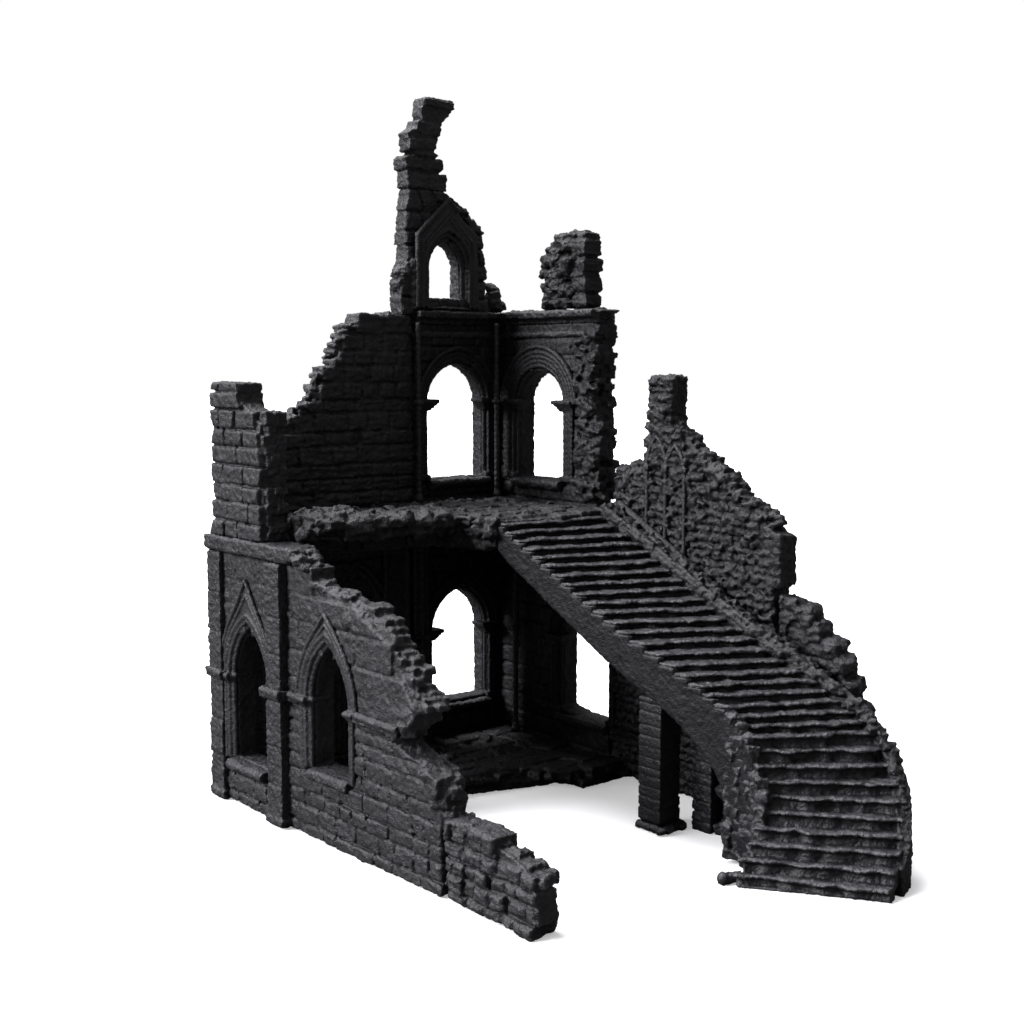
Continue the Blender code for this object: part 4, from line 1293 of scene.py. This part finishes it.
def spire_sill():
    heap = Heap(113)
    top = SPIRE_WINDOW[2]
    low = SPIRE_BASE + 0.05
    section = [(BACK_OUT, low), (BACK_Y - 1.0, low), (BACK_Y - 1.6, low + 0.3),
               (BACK_Y - 1.6, top - 0.3), (BACK_Y - 1.0, top), (BACK_OUT, top)]
    sill_slab(heap, SPIRE_WINDOW, 2.4, section, "y", 0.12)
    make(heap, "spire_window_sill", ["spire_sill"], FINE_VOXEL, "worn_and_highlit")


def crooked_courses(heap, courses, near, far):
    """Leaning courses of one or two blocks, each (left, right, bottom, top)."""
    for left, right, bottom, top in courses:
        middle = left + (right - left) * heap.about(0.35, 0.62)
        parts = [(left, right)]
        if right - left > 7.0:
            parts = [(left, middle - 0.1), (middle + 0.1, right)]
        for start, end in parts:
            size = (end - start, far - near + heap.about(-0.5, 0.3), top - bottom - 0.15)
            centre = ((start + end) / 2.0, (near + far) / 2.0 + heap.sway(0.3),
                      (bottom + top) / 2.0)
            turn = heap.tilt(0.03, 0.05, 0.07)
            heap.brick(centre, size, turn, 0.6, 0.25)
    for (l0, r0, b0, t0), (l1, r1, b1, t1) in zip(courses, courses[1:]):
        left, right = max(l0, l1) + 1.0, min(r0, r1) - 1.0
        heap.block((left, near + 1.0, (b0 + t0) / 2.0), (right, far - 1.0, (b1 + t1) / 2.0))


def spire_top():
    """Leaning courses and the crooked cap."""
    heap = Heap(115)
    courses = ((60.6, 75.0, 165.4, 170.6), (60.0, 73.6, 170.8, 174.9), (63.8, 71.4, 174.7, 176.4))
    crooked_courses(heap, courses, BACK_Y, -1.6)
    lump = [(62.0, 176.2), (70.6, 176.0), (71.6, 178.4), (72.4, 181.2), (73.8, 185.0),
            (65.4, 185.2), (63.6, 182.6), (61.2, 181.2)]
    heap.prism(lump[::-1], BACK_Y + 0.3, -2.0, "y")
    heap.brick((66.2, -4.4, 178.3), (9.4, 5.6, 3.4), (0.0, -0.1, 0.0), 0.5, 0.3)
    heap.brick((68.4, -4.6, 182.8), (8.6, 5.4, 3.6), (0.0, 0.12, 0.0), 0.5, 0.3)
    make(heap, "spire_crooked_courses", ["spire_courses"], FINE_VOXEL, "worn_and_highlit")
    heap = Heap(116)
    lump = [(66.6, 184.4), (73.0, 184.4), (75.6, 186.8), (78.2, 189.6), (77.9, SPIRE_TOP - 0.3),
            (68.6, SPIRE_TOP - 0.2), (66.6, 190.2), (66.2, 187.6)]
    heap.prism(lump[::-1], BACK_Y + 0.4, -2.0, "y")
    heap.brick((72.4, -4.4, 190.3), (11.0, 5.6, 2.6), (0.0, 0.03, 0.0), 0.5, 0.3)
    make(heap, "spire_top_stones", ["spire_cap"], FINE_VOXEL, "worn_and_highlit")


# Staircase

RISERS = 32
LOWER_RISERS = 10
LOWER_RISE = 3.15
STAIR_TOP = 74.6
SOLID_FROM = 22
TURN_FROM = 21
TURN_STEPS = 5.0
TREAD_COLUMNS = 30
CURB_WIDTH = 6.0
CURB_END = -0.8
CURB_RISE = 2.2
CURB_TUCK = 2.6
CURB_SINK = 2.6
STAIR_LEFT = ((54.4, -54.6), (56.8, -64.8), (58.4, -78.2), (59.8, -92.4), (61.4, -110.5),
              (64.0, -124.5), (64.4, -132.6), (61.6, -136.4), (53.6, -136.2))
STAIR_RIGHT = ((86.4, -59.8), (86.4, -75.2), (86.0, -91.0), (85.6, -107.4), (86.4, -124.4),
               (89.6, -139.0), (90.2, -151.6), (82.6, -161.8), (73.0, -165.4))


def on_path(path, step):
    """Where a path of equally weighted stations is at a riser number, smoothly between them."""
    place = step / RISERS * (len(path) - 1)
    index = min(max(int(place), 0), len(path) - 2)
    before, start, end, after = (
        Vector(path[max(0, min(len(path) - 1, index + offset))]) for offset in (-1, 0, 1, 2)
    )
    t = place - index
    bend = 2 * before - 5 * start + 4 * end - after
    turn = 3 * start - before - 3 * end + after
    return start + 0.5 * (t * (end - before) + t * t * bend + t * t * t * turn)


def tread_level(step):
    """The height of a tread. The risers at the foot of the flight are a little taller."""
    upper = RISERS - LOWER_RISERS
    rise = (STAIR_TOP - LOWER_RISERS * LOWER_RISE) / upper
    if step <= upper:
        return STAIR_TOP - step * rise
    return (RISERS - step) * LOWER_RISE


def soffit_level(step):
    """The underside of the flight, which curves down to the table where it becomes solid."""
    if step >= SOLID_FROM:
        return 0.0
    t = step / SOLID_FROM
    return (tread_level(step) - 7.0 - 4.6 * t) * (1.0 - t ** 12)


def turned_share(step):
    """How far into the turn at the foot of the flight a riser is, from 0 to 1."""
    return min(1.0, max(0.0, (step - TURN_FROM) / TURN_STEPS))


def wave(heap, count, size):
    """Smooth random offsets, for a worn edge."""
    raw = [heap.sway(size) for _ in range(count + 4)]
    return [(raw[k] + 2.0 * raw[k + 1] + 2.0 * raw[k + 2] + raw[k + 3]) / 4.0 for k in range(count)]


def stair_flight():
    """The body of the flight, its worn undercut treads, and rubble up its open foot."""
    heap = Heap(121)
    rings = []
    for half_step in range(2 * RISERS + 1):
        at = min(half_step / 2.0, RISERS - 0.05)
        left, right = on_path(STAIR_LEFT, at), on_path(STAIR_RIGHT, at)
        inward = (right - left).normalized() * 0.9
        drawn_in = 0.3 + 1.6 * turned_share(at)
        left, right = left + inward, right - inward * drawn_in
        top = tread_level(at) - 2.6 if at < RISERS - 1 else 0.6
        under = soffit_level(at)
        top = max(top, under + 0.5)
        rings.append([(*left, top), (*right, top), (*right, under), (*left, under)])
    heap.loft(rings)
    for step in range(RISERS):
        level = tread_level(step)
        fall = level - tread_level(step + 1)
        depth_noise = wave(heap, TREAD_COLUMNS + 1, 0.95)
        height_noise = wave(heap, TREAD_COLUMNS + 1, 0.45)
        narrower = 0.9 * turned_share(step)
        forward = 2.4 if step == RISERS - 1 else 0.0
        rings = []
        for k in range(TREAD_COLUMNS + 1):
            share = k / TREAD_COLUMNS
            back = on_path(STAIR_LEFT, step - 0.35).lerp(on_path(STAIR_RIGHT, step - 0.35), share)
            nose = on_path(STAIR_LEFT, step + 0.98).lerp(on_path(STAIR_RIGHT, step + 0.98), share)
            across = on_path(STAIR_RIGHT, step) - on_path(STAIR_LEFT, step)
            inward = across.normalized() * narrower * share ** 3
            back, nose = back - inward, nose - inward
            ahead = (nose - back).normalized()
            nose = nose + ahead * (depth_noise[k] + forward * share ** 2)
            top = level + height_noise[k] * 0.5
            low = level - fall - 0.8
            under = max(soffit_level(step + 0.5) + 0.3, 0.0)
            low = max(low, under) if step < RISERS - 1 else 0.0
            recess = nose - ahead * 1.7
            rings.append([(*back, top), (*(nose - ahead * 0.9), top), (*nose, top - 0.35),
                          (*(nose - ahead * 0.2), top - 0.8), (*recess, top - 1.0),
                          (*(recess + ahead * 0.35), low + 0.5), (*recess, low), (*back, low)])
        heap.loft(rings)
    for step in range(20, RISERS - 4):
        place = on_path(STAIR_LEFT, step + 0.4)
        level = tread_level(step) - 0.6
        while level > 1.5:
            size = heap.about(2.0, 3.4)
            heap.brick((place.x + 1.0 + heap.sway(0.3), place.y + heap.sway(0.4), level),
                       (size, size, size * 0.9), heap.tilt(0.3, 0.3, 0.6), 0.5, 0.35)
            level -= size * 0.9
    make(heap, "stair_treads", ["stair_flight"], WALL_VOXEL * 0.95, "treads", STAIR_PLASTIC)


def stair_string_plate():
    """The smooth pitted plate down the open side of the flight, stepped along its top."""
    heap = Heap(122)
    for step in range(0, SOLID_FROM + 2):
        rings = []
        for at in (step - 0.02, step + 0.5, step + 1.02):
            left = on_path(STAIR_LEFT, at)
            towards = (on_path(STAIR_RIGHT, at) - left).normalized()
            outer, inner = left - towards * 0.35, left + towards * 1.3
            top = tread_level(step) - 0.9
            under = soffit_level(min(at, SOLID_FROM))
            if at >= SOLID_FROM:
                under = 0.0
            rings.append([(*outer, top), (*inner, top), (*inner, under), (*outer, under)])
        heap.loft(rings)
    make(heap, "stair_string_plate", ["stair_flight"], FINE_VOXEL * 1.15, "smooth", SHADED_PLATE_PLASTIC)


def stair_curb():
    """The rubble curb along the wall, which narrows and sinks towards the foot."""
    heap = Heap(123)
    rings = []
    ridge = []
    middles = []
    for step in range(RISERS - 1):
        inner = on_path(STAIR_RIGHT, step)
        ahead = on_path(STAIR_RIGHT, min(step + 0.5, RISERS)) - on_path(STAIR_RIGHT, max(step - 0.5, 0))
        out = Vector((-ahead.y, ahead.x)).normalized()
        width = CURB_WIDTH - (CURB_WIDTH - CURB_END) * max(0.0, step / RISERS * 2.0 - 1.0)
        tucked = CURB_TUCK * min(1.0, max(0.0, (step - 20) / 6.0))
        near, far = inner + out * (0.4 - tucked), inner + out * width
        far.x = min(far.x, BAY_X - 2.0)
        sink = max(0.0, (step - 20) / 7.0)
        level = tread_level(step - 0.5) + CURB_RISE - CURB_SINK * min(1.3, sink)
        under = 0.0 if step >= SOLID_FROM else soffit_level(step)
        rings.append([(*near, level - 0.9), (*far, level - 0.9), (*far, under), (*near, under)])
        ridge.append((near.x + (0.8 + 0.05 * step) * out.x, near.y + 0.4 * out.y, level - 0.3))
        middles.append(((near.x + far.x) / 2.0, (near.y + far.y) / 2.0, level - 0.9, width))
    heap.loft(rings)
    heap.roll(ridge[:24], 0.7, bead=0.14, pitch=1.9)
    for (x0, y0, z0, w0), (x1, y1, z1, _) in zip(middles[:27], middles[1:]):
        for _ in range(8):
            share = heap.random.random()
            x = x0 + (x1 - x0) * share + heap.about(-0.3, 0.42) * w0
            size = heap.about(1.2, 3.0) * min(1.0, 0.35 + w0 / 6.0)
            turn = heap.tumble(0.5, 0.4)
            heap.brick((min(x, BAY_X - 2.2), y0 + (y1 - y0) * share,
                        z0 + (z1 - z0) * share + heap.about(-0.2, 0.5)),
                       (size * heap.about(1.0, 1.5), size, size * 0.6), turn, 0.35, 0.3)
    make(heap, "stair_rubble_curb", ["stair_curb"], WALL_VOXEL * 0.85, "rubble", RUBBLE_PLASTIC)


def stair_posts():
    """The brick post and its foot under the flight, and the rougher post behind it."""
    post, half, top = (70.2, -98.0), 3.7, 34.0
    heap = Heap(125)
    heap.block((post[0] - half + 0.3, post[1] - half + 0.3, 2.3),
               (post[0] + half - 0.3, post[1] + half - 0.3, top))
    level = 2.4
    while level < top - 0.5:
        ceiling = min(level + heap.about(1.9, 3.6), top)
        shift = heap.sway(0.1)
        corners = [(post[0] - half + shift, post[1] - half),
                   (post[0] + half, post[1] - half + shift), (post[0] + half, post[1] + half),
                   (post[0] - half + shift, post[1] + half)]
        heap.stone(corners, level + 0.08, ceiling, "z", 0.3, rough=0.08)
        level = ceiling
    make(heap, "front_post_bricks", ["stair_post_front"], FINE_VOXEL, "smooth", STAIR_PLASTIC)
    heap = Heap(126)
    corners = [(post[0] - 4.3, post[1] - 5.4), (post[0] + 4.8, post[1] - 5.2),
               (post[0] + 4.9, post[1] + 4.2), (post[0] - 4.2, post[1] + 4.3)]
    heap.stone(corners, 0.0, 2.1, "z", 0.5, rough=0.1)
    for x, y in ((66.6, -102.4), (69.0, -103.0), (73.6, -102.6), (75.0, -99.0)):
        heap.rock((x, y, 1.0), (1.5, 1.1, 0.8))
    make(heap, "front_post_foot", ["stair_post_plate"], FINE_VOXEL, "worn_and_highlit", STAIR_PLASTIC)
    heap = Heap(127)
    foot = (79.0, -107.0)
    level = 0.0
    heap.block((foot[0] - 2.8, foot[1] - 2.6, 0.0), (foot[0] + 2.8, foot[1] + 2.6, 27.0))
    while level < 26.5:
        ceiling = min(level + heap.about(2.4, 4.2), 27.0)
        corners = [(foot[0] - 3.1, foot[1] - 3.0), (foot[0] + 3.1, foot[1] - 3.0),
                   (foot[0] + 3.1, foot[1] + 3.0), (foot[0] - 3.1, foot[1] + 3.0)]
        heap.stone(corners, level + 0.05, ceiling, "z", 0.35)
        level = ceiling
    make(heap, "rear_post_bricks", ["stair_post_rear"], FINE_VOXEL, "worn_and_highlit", STAIR_PLASTIC)


def stair_base():
    heap = Heap(128)
    base = [(79.6, -110.6), (76.6, -118.0), (73.0, -124.0), (80.0, -126.0), (85.0, -118.0),
            (85.0, -110.6)]
    heap.prism(base, 0.0, 12.0, "z")
    for x, y, z, *radii in scatter(heap, 36, (75.0, 84.0), (-124.0, -111.0), (1.2, 12.0),
                                   (1.4, 2.8), (1.4, 2.8), (1.0, 2.0)):
        heap.rock((x, y, z), radii)
    make(heap, "stair_base_rubble", ["stair_base_block"], WALL_VOXEL, "rubble", STAIR_PLASTIC)
    heap = Heap(129)
    toe = [(52.8, -132.4), (52.4, -134.6), (55.4, -134.8), (57.4, -132.0)]
    heap.prism(toe, 0.0, 1.8, "z")
    heap.rock((53.0, -133.8, 1.6), (1.4, 1.3, 1.5), blocky=0.9, rough=0.06)
    heap.roll([(53.4, -133.8, 1.3), (55.2, -134.6, 1.4), (57.4, -135.6, 1.6)], 1.3)
    make(heap, "stair_toe_knob", ["stair_toe_block"], FINE_VOXEL, "smooth", STAIR_PLASTIC)


# Soft lights: turned down from overhead about x, then round z; strength and spread in degrees
SUNS = (("overhead_light", (-20.0, 0.0, 14.0), 4.8, 32.0),
        ("left_light", (61.0, 0.0, -114.0), 4.9, 26.0))
FILL_AT_HORIZON = 0.05
FILL_OVERHEAD = 0.42
LIGHT_TINT = (1.0, 0.985, 1.02)
WHITE = (1.0, 1.0, 1.0, 1.0)
PAPER = (0.93, 0.93, 0.93, 1.0)
PAPER_GLOW = 0.36
BOUNCE = 0.08
FLOOR_REACH = 4.0
LENS = 49.01
CAMERA_PLACE = (-0.22905, -0.24936, 0.1166)
CAMERA_TURN = (83.851, 0.0, -40.71)


def show_camera(tree, seen, otherwise, surface):
    """Gives the camera one shader and every other ray another."""
    path = tree.nodes.new("ShaderNodeLightPath")
    blend = tree.nodes.new("ShaderNodeMixShader")
    tree.links.new(path.outputs["Is Camera Ray"], blend.inputs["Fac"])
    tree.links.new(otherwise, blend.inputs[1])
    tree.links.new(seen, blend.inputs[2])
    tree.links.new(blend.outputs["Shader"], surface)


def surroundings():
    """White to the camera, with a fill light that grows from the horizon to overhead."""
    world = bpy.data.worlds.new("studio_white")
    world.use_nodes = True
    nodes, links = world.node_tree.nodes, world.node_tree.links
    seen = nodes["Background"]
    seen.inputs["Color"].default_value = WHITE
    seen.inputs["Strength"].default_value = 1.0
    fill = nodes.new("ShaderNodeBackground")
    fill.inputs["Color"].default_value = (*LIGHT_TINT, 1.0)
    coords = nodes.new("ShaderNodeTexCoord")
    split = nodes.new("ShaderNodeSeparateXYZ")
    dome = nodes.new("ShaderNodeMapRange")
    dome.inputs["To Min"].default_value = FILL_AT_HORIZON
    dome.inputs["To Max"].default_value = FILL_OVERHEAD
    links.new(coords.outputs["Generated"], split.inputs["Vector"])
    links.new(split.outputs["Z"], dome.inputs["Value"])
    links.new(dome.outputs["Result"], fill.inputs["Strength"])
    show_camera(world.node_tree, seen.outputs["Background"], fill.outputs["Background"],
                nodes["World Output"].inputs["Surface"])
    bpy.context.scene.world = world


def paper_floor():
    """A pale floor that glows a little, and that throws little light back at the object."""
    mesh = bpy.data.meshes.new("studio_floor")
    reach = FLOOR_REACH
    mesh.from_pydata([(-reach, -reach, 0.0), (reach, -reach, 0.0), (reach, reach, 0.0),
                      (-reach, reach, 0.0)], [], [(0, 1, 2, 3)])
    floor = bpy.data.objects.new("studio_floor", mesh)
    bpy.context.scene.collection.objects.link(floor)
    paper = bpy.data.materials.new("studio_paper")
    paper.use_nodes = True
    nodes = paper.node_tree.nodes
    pale = nodes["Principled BSDF"]
    pale.inputs["Base Color"].default_value = PAPER
    pale.inputs["Roughness"].default_value = 0.9
    pale.inputs["Specular IOR Level"].default_value = 0.1
    pale.inputs["Emission Color"].default_value = WHITE
    pale.inputs["Emission Strength"].default_value = PAPER_GLOW
    flagged = nodes.new("ShaderNodeBsdfDiffuse")
    flagged.inputs["Color"].default_value = (BOUNCE, BOUNCE, BOUNCE, 1.0)
    show_camera(paper.node_tree, pale.outputs["BSDF"], flagged.outputs["BSDF"],
                nodes["Material Output"].inputs["Surface"])
    mesh.materials.append(paper)


def studio():
    """The floor and surroundings, a broad light overhead, one high on the left, and the camera."""
    scene = bpy.context.scene
    surroundings()
    paper_floor()
    scene.view_settings.view_transform = "Standard"
    scene.view_settings.look = "None"
    for name, turn, strength, softness in SUNS:
        light = bpy.data.lights.new(name, "SUN")
        light.energy = strength
        light.angle = math.radians(softness)
        light.color = LIGHT_TINT
        lamp = bpy.data.objects.new(name, light)
        lamp.rotation_euler = [math.radians(angle) for angle in turn]
        scene.collection.objects.link(lamp)
    camera_data = bpy.data.cameras.new("camera")
    camera_data.lens = LENS
    camera_data.sensor_width = 36.0
    camera_data.clip_start = 0.01
    camera = bpy.data.objects.new("camera", camera_data)
    camera.location = CAMERA_PLACE
    camera.rotation_euler = [math.radians(angle) for angle in CAMERA_TURN]
    scene.collection.objects.link(camera)
    scene.camera = camera


def main():
    left_wall()
    left_surround(LEFT_REAR_WINDOW, "rear_window_mouldings", "left_surround_rear", 12, 60.6, 5.4)
    left_surround(LEFT_FRONT_WINDOW, "front_window_mouldings", "left_surround_front", 13, 56.8, 4.8)
    left_sills()
    shaft_of_stones("corner_pilaster_stones", "left_corner_pilaster", (-1.4, -6.6, 0.0),
                    (6.5, -0.1, STOREY), 24)
    shaft_of_stones("buttress_stones", "left_buttress", (-2.4, -37.6, 0.0), (0.6, -30.8, STOREY),
                    25)
    left_strings()
    left_cornice()
    left_stub()
    ground_floor()
    back_wall_ground()
    back_pier()
    ground_bay()
    stair_wall_high()
    stair_wall_low()
    stair_wall_string()
    first_floor()
    upper_left_wall()
    upper_back_wall()
    upper_bay()
    bay_ledge()
    ledge_stack()
    ledge_stub()
    spire_wall()
    spire_mouldings()
    spire_sill()
    spire_top()
    stair_flight()
    stair_curb()
    stair_posts()
    stair_base()
    stair_string_plate()
    bpy.data.objects.remove(strata)
    studio()


main()
